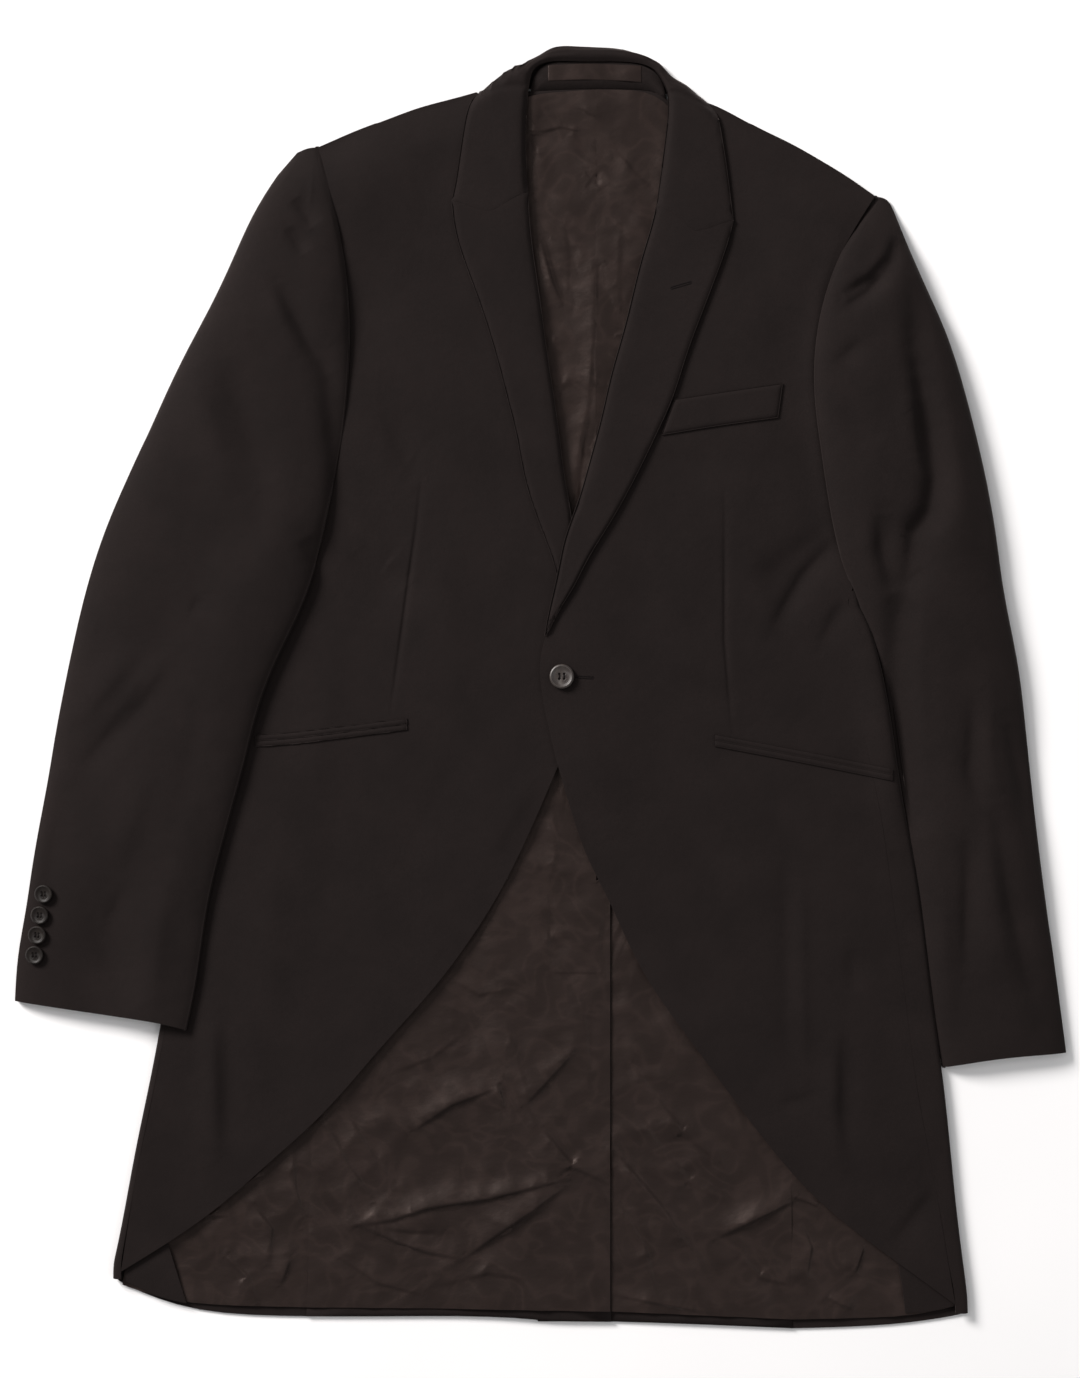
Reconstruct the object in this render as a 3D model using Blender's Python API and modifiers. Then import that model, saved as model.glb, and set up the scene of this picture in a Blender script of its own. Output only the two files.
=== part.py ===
# One-button cutaway blazer with peak lapels, laid flat on its back, face up.
# Left and right are the wearer's, so the left front lies at +X.
# Tables and heights are in millimetres, and MM turns them into metres.

import bisect
import math

import bmesh
import bpy
from mathutils import Vector

MM = 0.001

# Layers, counted up from the surface that the coat lies on
BACK_WALL = 1.5
LINING_WALL = 1.0
SEAM_GAP = 0.3
TOP_SEAM_GAP = 0.65
FRONT_WALL = 2.4
FRONT_TOP = 7.8
LAPEL_WALL = 2.0
LAPEL_GAP = 0.45
LAPEL_LIFT = 0.5
ROLL_WIDTH = 11.0
SHOULDER_ROLL = 14.0
OVERLAP_LIFT = 3.2
NECK_LIFT = 2.1
VENT_LIFT = 1.8
VENT_TOP_Y = -152.0
CENTRE_SEAM_X = 42.0
VENT_EDGE_X = 53.2
VENT_UNDER_X = -1.9
SIDE_WALL = 1.5
SLEEVE_WALL = 1.8
SLEEVE_RIM = 1.8
SLEEVE_UNDER_OUT = 0.9
SLEEVE_UNDER_IN = 1.9
SLEEVE_UNDER_MARGIN = 0.6

# Buttons
FRONT_BUTTON_RADIUS = 10.0
CUFF_BUTTON_RADIUS = 7.5
FRONT_BUTTON_DEPTH = 3.6
CUFF_BUTTON_DEPTH = 2.8
BUTTON_HOLES = 4
BUTTON_HOLE_SHARE = 0.1
BUTTON_HOLE_RING = 0.25
BUTTON_SIDES = 10
BUTTON_PROFILE = [(0.0, 0.0), (0.84, 0.0), (1.0, 0.4), (0.98, 0.8), (0.86, 1.0), (0.62, 0.66), (0.0, 0.6)]

# Trim that lies on the fronts and inside the neck
TRIM_GAP = 0.35
JET_WALL = 1.1
JET_SLIT = 0.25
WELT_WALL = 1.4
STAND_WALL = 1.9
LOOP_LEVEL = 2.2
LOOP_WALL = 0.9
FACING_WALL = 0.9

# Seams, hems and the rows and columns of the sheets
ROUTE_STEPS = 240
SHARP_DEGREES = 40
NECK_SEAM_Y = 452.0
HEM_RIGHT_Y = -476.0
HEM_LEFT_Y = -485.0
HEM_FOLD = 1.0
LINING_HEM_RIGHT_Y = -469.0
LINING_HEM_LEFT_Y = -478.0
LINING_GAP = 0.45
FACING_LEVEL = 4.2
END_STRETCH = 90.0
BACK_HEIGHTS_RIGHT = [-400, -300, -228, -156, -152, -148, -128, 20, 90.4, 114, 126, 166, 214, 259, 297,
                      339, 384, 404, 420, 434]
BACK_HEIGHTS_LEFT = [-400, -300, -228, -156, -152, -148, -128, 20, 67.4, 69.5, 76, 82, 105, 138, 181,
                     214, 241, 272, 300, 326, 351, 384, 404, 420, 434]
SIDE_HEIGHTS = [-400, -350, -300, -260, -220, -180, -140, -105, -70, -35, -8, 20, 42]
LINING_HEIGHTS = [-448, -432, -416, -400, -384, -368, -350, -333, -316, -300, -278, -250, -220, -190,
                  -156, -152, -148, -144, -128, 20, 90, 135, 170, 205, 240, 272, 300, 330, 360,
                  384, 404, 420, 434]
LINING_SIDE_HEIGHTS = [-440, -412, -384, -350, -300, -220, -140, -60, 20]
ROLL_COLUMNS = [0, 0.07, 0.16, 0.28, 0.4, 0.53, 0.68, 0.86, 1]
COLLAR_WALL = 1.8
COLLAR_ROLL = 8.0
COLLAR_SEAM = 0.4
COLLAR_SPREAD = 0.5
COLLAR_END_SHARE = 0.16
COLLAR_BEND = 3.0
JET_WIDTH = 4.3
SLEEVE_ON_BODY = 8.7
SLEEVE_FLATNESS = 0.72
SLEEVE_TIP_REACH = 12.0
SLEEVE_HEIGHTS = [12, 14, 16, 17.5, 18.5, 19.5, 20.5, 21, 21, 20, 17]
FRONT_BUTTON_PLACE = (16, 8)
CUFF_BUTTON_PLACES = [(-374, -156), (-377, -172), (-379, -187), (-381, -202)]

# Colour and roughness
WOOL = ((0.020, 0.016, 0.015), 0.9)
SATIN = ((0.040, 0.026, 0.024), 0.4)
HORN = ((0.012, 0.011, 0.011), 0.35)


class Route:
    """A line in plan through a few points, smooth or bent, read by its share of the length."""

    def __init__(self, points, bent=False):
        self.bent = bent
        self.points = [Vector(point) for point in points]
        self.marks = [0.0]
        for start, end in zip(self.points, self.points[1:]):
            self.marks.append(self.marks[-1] + (end - start).length)
        self.length = self.marks[-1]
        self.fine = []

    def slope(self, index):
        before = max(index - 1, 0)
        after = min(index + 1, len(self.points) - 1)
        run = self.marks[after] - self.marks[before]
        return (self.points[after] - self.points[before]) / run

    def __call__(self, share):
        mark = min(max(share, 0.0), 1.0) * self.length
        index = 0
        while index < len(self.points) - 2 and self.marks[index + 1] < mark:
            index += 1
        run = self.marks[index + 1] - self.marks[index]
        t = (mark - self.marks[index]) / run
        if self.bent:
            return self.points[index].lerp(self.points[index + 1], t)
        start = self.points[index] * (2 * t**3 - 3 * t**2 + 1)
        start += self.slope(index) * run * (t**3 - 2 * t**2 + t)
        end = self.points[index + 1] * (3 * t**2 - 2 * t**3)
        end += self.slope(index + 1) * run * (t**3 - t**2)
        return start + end

    def crossing(self, value, axis):
        """The other coordinate where the line passes a value of the axis, 0 for X and 1 for Y."""
        if not self.fine:
            self.fine = self.points
            if not self.bent:
                self.fine = [self(step / ROUTE_STEPS) for step in range(ROUTE_STEPS + 1)]
        points = self.fine
        if points[-1][axis] < points[0][axis]:
            points = points[::-1]
        index = bisect.bisect_left([point[axis] for point in points], value)
        if index == 0:
            return points[0][1 - axis]
        if index == len(points):
            return points[-1][1 - axis]
        low, high = points[index - 1], points[index]
        share = (value - low[axis]) / (high[axis] - low[axis])
        return mix(low[1 - axis], high[1 - axis], share)

    def x_at(self, y):
        """X where the line passes the height y; the points run one way in y."""
        return self.crossing(y, 1)

    def y_at(self, x):
        """Y where the line passes the place x; the points run one way in x."""
        return self.crossing(x, 0)


def smooth(t):
    """A soft step from 0 at t = 0 to 1 at t = 1."""
    t = min(max(t, 0.0), 1.0)
    return t * t * (3 - 2 * t)


def mix(a, b, share):
    return a + (b - a) * share


def dome(x, y, centre_x, centre_y, radius_x, radius_y):
    """1 at the centre, falling away softly on every side."""
    return math.exp(-((x - centre_x) / radius_x) ** 2 - ((y - centre_y) / radius_y) ** 2)


def quarter_round(distance, radius):
    """Height share of a rounded edge, a distance in from where it starts."""
    if distance >= radius:
        return 1.0
    reach = 1.0 - max(distance, 0.0) / radius
    return math.sqrt(max(0.0, 1.0 - reach * reach))


def even(count):
    return [index / count for index in range(count + 1)]


def relief(x, y, folds):
    """Summed height of soft folds; each has its two ends, a half width and a height."""
    total = 0.0
    for start_x, start_y, end_x, end_y, width, height in folds:
        along_x = end_x - start_x
        along_y = end_y - start_y
        length = math.hypot(along_x, along_y)
        share = ((x - start_x) * along_x + (y - start_y) * along_y) / length**2
        if -0.3 < share < 1.3:
            aside = ((x - start_x) * along_y - (y - start_y) * along_x) / length
            taper = smooth((share + 0.3) / 0.45) * smooth((1.3 - share) / 0.45)
            total += height * math.exp(-((aside / width) ** 2)) * taper
    return total


# Outline and seams in plan, each table in columns x, y

SHOULDER_RIGHT = Route([(-168, 408), (-133, 423), (-96, 435.5), (-68, 443), (-56, 447)])
FRONT_TOP_RIGHT = Route([(-167.5, 408), (-150, 416), (-133, 423), (-96, 435.5), (-68, 443), (-60, 445.5),
                         (-57, 446), (-55.5, 441.5), (-52, 436.5), (-38, 432), (-22, 424)])
SHOULDER_LEFT = Route([(253, 371), (230, 387), (211, 398.5), (190, 410.5), (168, 421), (142, 434)])
FRONT_TOP_LEFT = Route([(106, 424), (120, 430), (131, 429), (138, 434.5), (150, 430.5), (168, 421),
                        (190, 410.5), (211, 398.5), (230, 387), (252.5, 371)])

ARMHOLE_RIGHT = [(-163, 126), (-153, 166), (-147, 214), (-144, 259), (-145, 297), (-151, 339), (-158, 373),
                 (-167.5, 408)]
ARMHOLE_LEFT = [(232, 79), (225, 105), (218, 138), (212, 181), (207, 214), (206, 241), (209, 272),
                (216, 300), (225, 326), (240, 352), (252.5, 371)]

BODY_EDGE_RIGHT = Route([(-323, -446), (-317, -411), (-307, -353), (-299, -317), (-289, -266),
                         (-276, -191), (-261, -123), (-246, -62), (-234, -10), (-219, 50), (-200, 90),
                         (-181, 119)])
SIDE_SEAM_RIGHT = [(-316.5, -441), (-312, -411), (-302, -353), (-294, -317), (-284, -266), (-271, -191),
                   (-256, -123), (-241, -62), (-229, -10), (-213, 48), (-194, 88), (-177, 112)]
BODY_EDGE_LEFT = Route([(323, -472), (319, -433), (313, -385), (309, -340), (304, -292), (300, -267),
                        (293, -211), (286, -151), (279, -115), (271, -69), (262, -7), (252, 36), (241, 62),
                        (238, 67)])
SIDE_SEAM_LEFT = [(313, -466), (308, -440), (302, -397), (294, -357), (284, -304), (276, -242),
                  (271, -199), (265, -156), (259, -108), (251.7, -72), (245.7, -45), (239, -10), (234, 25),
                  (231.5, 60)]
SIDE_LINE_RIGHT = Route(SIDE_SEAM_RIGHT + ARMHOLE_RIGHT)
SIDE_LINE_LEFT = Route(SIDE_SEAM_LEFT + ARMHOLE_LEFT)

LINING_OUTER_RIGHT = Route([(-177, -476), (-172, -300), (-125, 20), (-125, 90), (-141, 180), (-134, 300),
                            (-141, 384)], bent=True)
LINING_OUTER_LEFT = Route([(190, -485), (189, -300), (170, 20), (170, 90), (200, 181), (198, 300),
                           (219, 346)], bent=True)

CUTAWAY_RIGHT = Route([(-316.5, -441), (-279, -418), (-238, -389), (-207, -360), (-177, -335),
                       (-146, -302), (-116, -266), (-85, -233), (-59, -199), (-34, -161), (-13, -120),
                       (-4, -100), (5, -78), (13, -59)])
CUTAWAY_LEFT = Route([(12.5, -57), (18, -74), (25, -100), (32, -123), (46, -149), (59, -174), (71, -205),
                      (91, -237), (112, -265), (135, -296), (157, -326), (183, -359), (208, -387),
                      (241, -413), (274, -438), (302, -456), (313, -466)])

# The roll is the edge of each lapel along the V of the neck
ROLL_RIGHT = Route([(16.5, 80), (21.5, 94), (24.5, 108), (25, 120), (23, 132), (20.8, 141), (18.5, 156),
                    (16.2, 171), (12.5, 202), (7.9, 232), (3.4, 262), (-0.4, 292), (-4.9, 322),
                    (-7.2, 339), (-9.4, 363), (-9.4, 373)])
ROLL_LEFT = Route([(3.2, 39), (5, 50.6), (8, 65.7), (12.5, 82), (17.7, 111), (29, 141), (37.4, 171),
                   (45.7, 201.6), (54, 238.6), (62.3, 266.5), (69.8, 296.7), (75.9, 322.4), (83.4, 345.8),
                   (87.5, 363)])
LAPEL_EDGE_RIGHT = Route([(13.5, 80.5), (8.7, 99.7), (4, 111), (-2, 126), (-7, 141), (-11.7, 156),
                          (-14.7, 171), (-17, 186.5), (-26, 222), (-33, 249), (-44, 285), (-64, 341),
                          (-67, 367)])
LAPEL_EDGE_LEFT = Route([(6.6, 42.6), (13.2, 57.4), (23.8, 72.5), (35.9, 97.8), (52.5, 123.8),
                         (71.3, 157.8), (88, 192.5), (99, 216), (111, 254), (125, 291), (141, 334),
                         (145.5, 352)])
GORGE_RIGHT = Route([(-9.4, 373), (-18, 370.5), (-39, 358), (-52, 362), (-67, 367)])
GORGE_LEFT = Route([(87.5, 363), (98, 358.5), (107.6, 350.5), (118, 343), (131, 347.5), (145.5, 352)])

# Edges of the fronts: beside the roll they stand back under the lapel
FRONT_EDGE_RIGHT = [(13, -59), (26, -32), (32, -2), (33, 28), (26, 66), (16, 105), (8, 141), (4, 171),
                    (0, 202), (-4, 232), (-9, 262), (-13, 292), (-17, 322), (-21, 363), (-23, 400),
                    (-22, 424)]
FRONT_EDGE_LEFT = [(12.5, -57), (7, -32), (2, -10), (-1, 14), (1.5, 35), (13, 52), (22, 82), (32, 111),
                   (40, 141), (50, 171), (58, 202), (66, 232), (75, 262), (83, 292), (92, 322), (100, 352),
                   (106, 383), (107, 405), (106, 424)]

# Seams between the back and the side panels
BACK_OUTER_RIGHT = Route([(-177, -476), (-172, -300), (-125, 20), (-125, 90.4), (-167, 114), (-165.2, 126),
                          (-155, 166), (-148.8, 214), (-146.2, 259), (-147.2, 297), (-153.2, 339),
                          (-160.2, 373), (-166, 399.5)], bent=True)
BACK_OUTER_LEFT = Route([(190, -485), (189, -300), (170, 20), (170, 67.4), (237, 69.5), (234, 76),
                         (232.4, 82), (227.2, 105), (220.2, 138), (214.2, 181), (209.2, 214), (208.2, 241),
                         (211.2, 272), (218.2, 300), (227.2, 326), (242.2, 351), (250, 367)], bent=True)

BACK_TOP_RIGHT = Route([(-166, 399.5), (-133, 420), (-96, 432.5), (-66, 440), (-50, 441.5), (-30, 443),
                        (-8, 450), (CENTRE_SEAM_X - SEAM_GAP / 2, NECK_SEAM_Y)])
BACK_TOP_LEFT = Route([(CENTRE_SEAM_X + SEAM_GAP / 2, NECK_SEAM_Y), (87, 449.4), (92, 446.5), (97, 442.5),
                       (102, 436), (124, 419),
                       (168, 416.5), (211, 394), (250, 367)])
LINING_TOP_RIGHT = Route([(-141, 384), (-133, 396), (-96, 409), (-66, 418), (-44, 428), (-28, 438),
                          (-8, 447), (CENTRE_SEAM_X - SEAM_GAP / 2, NECK_SEAM_Y - 0.5)])
LINING_TOP_LEFT = Route([(CENTRE_SEAM_X + SEAM_GAP / 2, NECK_SEAM_Y - 0.5), (86, 449), (98, 438),
                         (118, 414), (168, 388), (205, 366), (219, 346)])
HEM = Route([(-324, -446), (-309, -459), (-289, -470), (-274, -474), (-238, -475), (-161, -476),
             (-31, -475), (0, -479), (53, -480), (122, -482), (173, -485), (249, -484), (285, -482),
             (310, -478), (323, -473)])
INNER_EDGE_RIGHT = Route([(-316, -452), (-310, -411), (-300, -353), (-292, -317), (-282, -266),
                          (-269, -191), (-254, -123), (-239, -62), (-227, -10), (-212, 50), (-193, 96)])
INNER_EDGE_LEFT = Route([(317, -467), (312, -433), (306, -385), (302, -340), (297, -292), (293, -267),
                         (286, -211), (279, -151), (272, -115), (264, -69), (255, -7), (245, 44)])

# Sections of the collar's fall from the right gorge seam round the neck to the left one.
# Columns: inner x, inner y, outer x, outer y, inner z, height, degrees of curl, length folded under
COLLAR_ROWS = [
    (-9.4, 373, -67, 367, 5.8, 10.5, 0, 0),
    (-10.4, 388, -64, 380, 5.8, 10.7, 0, 0),
    (-10.9, 401, -62, 394, 5.8, 10.9, 0, 0),
    (-10.9, 418, -59, 415, 6.0, 11.0, 4, 0),
    (-10.6, 432, -54.5, 438, 6.4, 10.8, 25, 0),
    (-9, 446, -46, 451, 6.8, 10.4, 80, 0.5),
    (-7, 457, -27, 461, 7.0, 9.4, 130, 10),
    (-4, 466, -9, 471.5, 6.2, 8.2, 160, 18),
    (6, 473, 9, 484, 5.2, 7.6, 180, 27),
    (28, 473, 29, 484.5, 5.2, 7.4, 180, 31),
    (44, 473, 45, 484, 5.2, 7.4, 180, 31),
    (60, 473, 62, 483, 5.2, 7.4, 180, 31),
    (78, 471, 82, 476.5, 5.2, 7.6, 180, 27),
    (90, 463.5, 98, 467, 6.2, 8.4, 160, 16),
    (95, 452, 115, 450.5, 7.0, 9.6, 125, 7),
    (96.3, 440, 131, 438, 6.8, 10.4, 75, 0.5),
    (95.5, 424, 135.5, 424, 6.4, 10.8, 25, 0),
    (93, 404, 139, 402, 6.0, 11.0, 4, 0),
    (90.5, 385, 142, 380, 5.8, 10.9, 0, 0),
    (87.5, 363, 145.5, 352, 5.8, 10.5, 0, 0),
]

# Plan edges of the sleeves: the inner line runs from the cuff to the armpit and on up the armhole
SLEEVE_OUTER_RIGHT = Route([(-397, -237), (-395, -200), (-388, -167), (-382, -122), (-373, -79),
                            (-366, -34), (-355, 21), (-345, 66), (-329, 118), (-300, 183), (-273, 243),
                            (-242, 301), (-220, 352), (-201, 385), (-184, 404)])
SLEEVE_INNER_RIGHT = Route([(-268, -258), (-266, -251), (-260, -222), (-253, -167), (-244, -129),
                            (-231, -81), (-221, -45), (-213, -8), (-195, 32), (-178, 66), (-168, 100),
                            (-163.7, 126), (-153.7, 166), (-147.7, 214), (-144.7, 259), (-145.7, 297),
                            (-151.7, 339), (-158.7, 373), (-168.2, 408.2)])
CUFF_RIGHT = Route([(-397, -237), (-342, -245), (-287, -253), (-268, -258)])
SLEEVE_TIP_RIGHT = Route([(-184, 404), (-176, 407.4), (-168.2, 408.2)])
SLEEVE_INNER_LEFT = Route([(304.8, -287), (300.6, -267), (293.6, -211), (286.6, -151), (279.6, -115),
                           (271.6, -69), (262.6, -7), (252.6, 36), (242.6, 62), (232.9, 79), (225.6, 105),
                           (218.6, 138), (212.6, 181), (207.6, 214), (206.6, 241), (209.6, 272),
                           (216.6, 300), (225.7, 326), (240.7, 352), (253.2, 371.2)])
SLEEVE_OUTER_LEFT = Route([(397, -276), (392, -238), (386, -194), (377, -127), (370, -66), (361, 17),
                           (350, 69), (344, 117), (335, 165), (323, 214), (309, 262), (292, 300),
                           (273, 343), (267, 360)])
CUFF_LEFT = Route([(304.8, -287), (348, -280), (397, -276)])
SLEEVE_TIP_LEFT = Route([(253.2, 371.2), (262, 368.5), (267, 360)])

# Largest folds: start x, start y, end x, end y, half width, height
FRONT_FOLDS_RIGHT = [
    (-113, 204, -93, 156, 16, -1.0),
    (-140, 103, -106, 72, 15, -1.2),
    (-248, -260, -246, -350, 13, 1.3),
    (-200, -120, -205, -260, 24, 0.9),
    (-60, 120, -70, -20, 30, 0.8),
]
FRONT_FOLDS_LEFT = [
    (186, -190, 190, -300, 14, -1.2),
    (230, -200, 232, -340, 14, 1.2),
    (262, -240, 270, -350, 15, -0.9),
    (226, 111, 188, 62, 12, -1.3),
    (110, 130, 105, -10, 30, 0.8),
]
NECK_FOLDS = [
    (5, 441, 30, 439, 7, 1.8),
    (30, 439, 60, 422, 8, 2.2),
    (60, 422, 88, 386, 9, 1.8),
    (0, 421, 40, 421, 8, -0.8),
    (44, 400, 44, 330, 10, -0.6),
    (44, 310, 41, 220, 7, 2.2),
    (41, 220, 27, 150, 6, 1.9),
    (2, 330, 15, 290, 7, -0.7),
    (66, 330, 56, 250, 9, 0.8),
]
SKIRT_FOLDS = [
    (-138, -407, -20, -386, 9, 3.0),
    (-20, -386, 18, -370, 7, 2.4),
    (-98, -419, -60, -434, 9, 2.2),
    (-90, -330, -30, -298, 9, 2.2),
    (-150, -330, -135, -356, 9, 2.0),
    (-218, -402, -198, -446, 9, 2.4),
    (-188, -424, -205, -466, 8, -0.7),
    (-60, -455, -10, -462, 12, 1.2),
    (-8, -306, 24, -276, 10, 1.6),
    (10, -350, 44, -372, 8, 2.0),
    (-30, -240, -4, -330, 11, 1.1),
    (56, -352, 112, -428, 9, 2.6),
    (96, -318, 138, -368, 9, 2.2),
    (143, -414, 192, -392, 10, 3.0),
    (92, -452, 150, -458, 13, 1.4),
    (70, -250, 96, -300, 10, 1.2),
    (240, -430, 232, -452, 9, 1.6),
]
SLEEVE_FOLDS_RIGHT = [
    (-184, 366, -170, 348, 7, -1.5),
    (-197, 303, -165, 245, 9, -1.8),
    (-262, 232, -226, 140, 18, 2.0),
    (-163, 250, -148, 190, 12, -2.5),
    (-291, 11, -344, -62, 12, -3.0),
    (-270, 20, -318, -38, 10, 2.0),
    (-257, 66, -263, 54, 9, -1.2),
    (-313, -151, -327, -181, 9, -1.6),
    (-333, -180, -307, -240, 15, -1.8),
    (-300, -60, -330, -150, 16, 1.4),
]
SLEEVE_FOLDS_LEFT = [
    (271, 340, 250, 308, 8, -2.6),
    (250, 308, 228, 295, 8, -1.6),
    (245, 262, 222, 243, 9, -1.4),
    (284, 262, 289, 208, 10, -2.8),
    (289, 208, 295, 160, 10, -3.0),
    (291, 145, 268, 66, 12, -2.6),
    (268, 66, 256, 10, 10, -3.0),
    (256, 10, 274, -110, 10, -3.2),
    (327, -8, 328, -90, 11, -1.8),
    (351, -25, 367, -104, 10, -1.6),
    (345, -85, 360, -170, 12, 1.6),
    (322, -115, 321, -218, 12, -1.8),
    (310, 180, 318, 60, 18, 1.6),
]


def shoulder_share(x, y):
    """Roundness at the shoulder edge: 0 at the edge, 1 further in."""
    if x < CENTRE_SEAM_X:
        distance = (SHOULDER_RIGHT.y_at(x) - y) * 0.94
    else:
        distance = (SHOULDER_LEFT.y_at(x) - y) * 0.88
    return quarter_round(distance, SHOULDER_ROLL)


def neck_lift(x, y):
    """The back of the neck lies on the collar that is folded behind it."""
    window = smooth((x + 64) / 32) * smooth((126 - x) / 14)
    return NECK_LIFT * smooth((y - 416) / 26) * window


def vent_lift(x, y):
    """The right back rises where it lies on the left back's vent strip."""
    beside = smooth((x - VENT_UNDER_X + 44) / 26)
    below = smooth((VENT_TOP_Y + 24 - y) / 20)
    return VENT_LIFT * beside * below


def front_pad(x, y):
    """The chest, the shoulder pads and the body under the fronts."""
    chest = 1.4 * dome(x, y, -92, 235, 60, 95) + 1.4 * dome(x, y, 160, 225, 60, 95)
    pads = 5.6 * dome(x, y, -150, 378, 52, 52) + 5.6 * dome(x, y, 226, 346, 52, 52)
    return chest + pads


def front_right_top(x, y):
    return FRONT_TOP + front_pad(x, y) + relief(x, y, FRONT_FOLDS_RIGHT)


def front_left_top(x, y):
    """The left front lies on the right one where they are buttoned together."""
    over = smooth((88 - x) / 46) * smooth((y + 118) / 52) * smooth((222 - y) / 84)
    return FRONT_TOP + front_pad(x, y) + relief(x, y, FRONT_FOLDS_LEFT) + OVERLAP_LIFT * over


def front_levels(top, under):
    def levels(x, y):
        edge = shoulder_share(x, y)
        upper = mix(3.4, top(x, y), edge)
        lower = mix(1.9, under(x, y), edge)
        return lower, upper
    return levels


def front_right_under(x, y):
    return FRONT_TOP - FRONT_WALL + relief(x, y, FRONT_FOLDS_RIGHT)


def front_left_under(x, y):
    return front_left_top(x, y) - front_pad(x, y) - FRONT_WALL


def under_front(x, y):
    """0 in the open V and cutaway, 1 under the fronts, with a soft rim between."""
    if y > 60:
        inside = min(x - ROLL_RIGHT.x_at(y), ROLL_LEFT.x_at(y) - x)
        rim = 16.0
    elif y < -57:
        inside = min(x - CUTAWAY_RIGHT.x_at(y), CUTAWAY_LEFT.x_at(y) - x) * 0.75
        rim = 24.0
    else:
        return 1.0
    return 1.0 - smooth(inside / rim)


def lining_base(x, y):
    hem = HEM_FOLD * smooth((HEM_RIGHT_Y + 19 - y) / 8)
    return BACK_WALL + LINING_GAP + neck_lift(x, y) + hem


def lining_relief(x, y):
    folds = SKIRT_FOLDS if y < 0 else NECK_FOLDS
    return max(-0.2, relief(x, y, folds)) * (1.0 - under_front(x, y))


def make_material(name, colour, roughness):
    material = bpy.data.materials.new(name)
    material.use_nodes = True
    shader = material.node_tree.nodes["Principled BSDF"]
    shader.inputs["Base Color"].default_value = (*colour, 1.0)
    shader.inputs["Roughness"].default_value = roughness
    shader.inputs["Metallic"].default_value = 0.0
    material.diffuse_color = (*colour, 1.0)
    return material


def add_object(name, mesh, look):
    colour, roughness = look
    mesh.materials.append(make_material(name, colour, roughness))
    item = bpy.data.objects.new(name, mesh)
    PARTS.objects.link(item)
    return item


def slab(name, look, plan, levels, columns, rows):
    """A wall over plan(u, v), from the lower to the upper of levels(u, v, x, y)."""
    bm = bmesh.new()
    wide = len(columns) - 1
    deep = len(rows) - 1
    bmesh.ops.create_grid(bm, x_segments=wide, y_segments=deep, size=0.5)
    places = {}
    for vert in bm.verts:
        places[vert] = (columns[round((vert.co.x + 0.5) * wide)], rows[round((vert.co.y + 0.5) * deep)])
    copies = bmesh.ops.duplicate(bm, geom=bm.verts[:] + bm.edges[:] + bm.faces[:])
    uppers = {copies["vert_map"][vert]: place for vert, place in places.items()}
    rims = [edge for edge in bm.edges if edge.is_boundary]
    for is_upper, group in ((0, places), (1, uppers)):
        for vert, (u, v) in group.items():
            point = plan(u, v)
            height = levels(u, v, point.x, point.y)[is_upper]
            vert.co = Vector((point.x, point.y, height)) * MM
    bmesh.ops.bridge_loops(bm, edges=rims)
    bmesh.ops.recalc_face_normals(bm, faces=bm.faces)
    mesh = bpy.data.meshes.new(name)
    bm.to_mesh(mesh)
    bm.free()
    mesh.shade_smooth()
    mesh.set_sharp_from_angle(angle=math.radians(SHARP_DEGREES))
    return add_object(name, mesh, look)


def shell(name, look, place, columns, rows, wall):
    """A curved sheet through place(u, v), its wall grown inwards by Solidify."""
    bm = bmesh.new()
    wide = len(columns) - 1
    deep = len(rows) - 1
    bmesh.ops.create_grid(bm, x_segments=wide, y_segments=deep, size=0.5)
    for vert in bm.verts:
        u = columns[round((vert.co.x + 0.5) * wide)]
        v = rows[round((vert.co.y + 0.5) * deep)]
        vert.co = place(u, v) * MM
    mesh = bpy.data.meshes.new(name)
    bm.to_mesh(mesh)
    bm.free()
    mesh.shade_smooth()
    item = add_object(name, mesh, look)
    solidify = item.modifiers.new("Wall", "SOLIDIFY")
    solidify.thickness = wall * MM
    solidify.offset = -1.0
    solidify.use_even_offset = True
    return item


def patch(left, right, bottom, top):
    """Plan point inside four edges: u runs from left to right, v from bottom to top."""
    def plan(u, v):
        across = mix(left(v), right(v), u)
        along = mix(bottom(u), top(u), v)
        corners = mix(mix(left(0), right(0), u), mix(left(1), right(1), u), v)
        return across + along - corners
    return plan


def stepped(seam_x, vent_x, low, high, step_y):
    """A centre edge whose lower part stands at the vent's edge: v runs from low to high in y."""
    def edge(v):
        y = mix(low, high, v)
        return Vector((mix(vent_x, seam_x, smooth((y - step_y) / 4)), y))
    return edge


def level_with(y, low, high, own_low, own_high):
    """Heights on an outer edge equal those at the centre, but for a stretch near each end."""
    below = max((low + END_STRETCH - y) / END_STRETCH, 0.0)
    above = max((y - high + END_STRETCH) / END_STRETCH, 0.0)
    return y + (own_low - low) * below + (own_high - high) * above


def upright(route, own_low, own_high, low, high, gap=0.0):
    """A side edge read by height, beside a centre edge that runs from low to high in y."""
    def edge(v):
        y = level_with(mix(low, high, v), low, high, own_low, own_high)
        return Vector((route.x_at(y) + gap, y))
    return edge


def shares_of(heights, low, high):
    """Row heights as shares of the way from low to high."""
    return [min(max((height - low) / (high - low), 0.0), 1.0) for height in heights]


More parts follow.
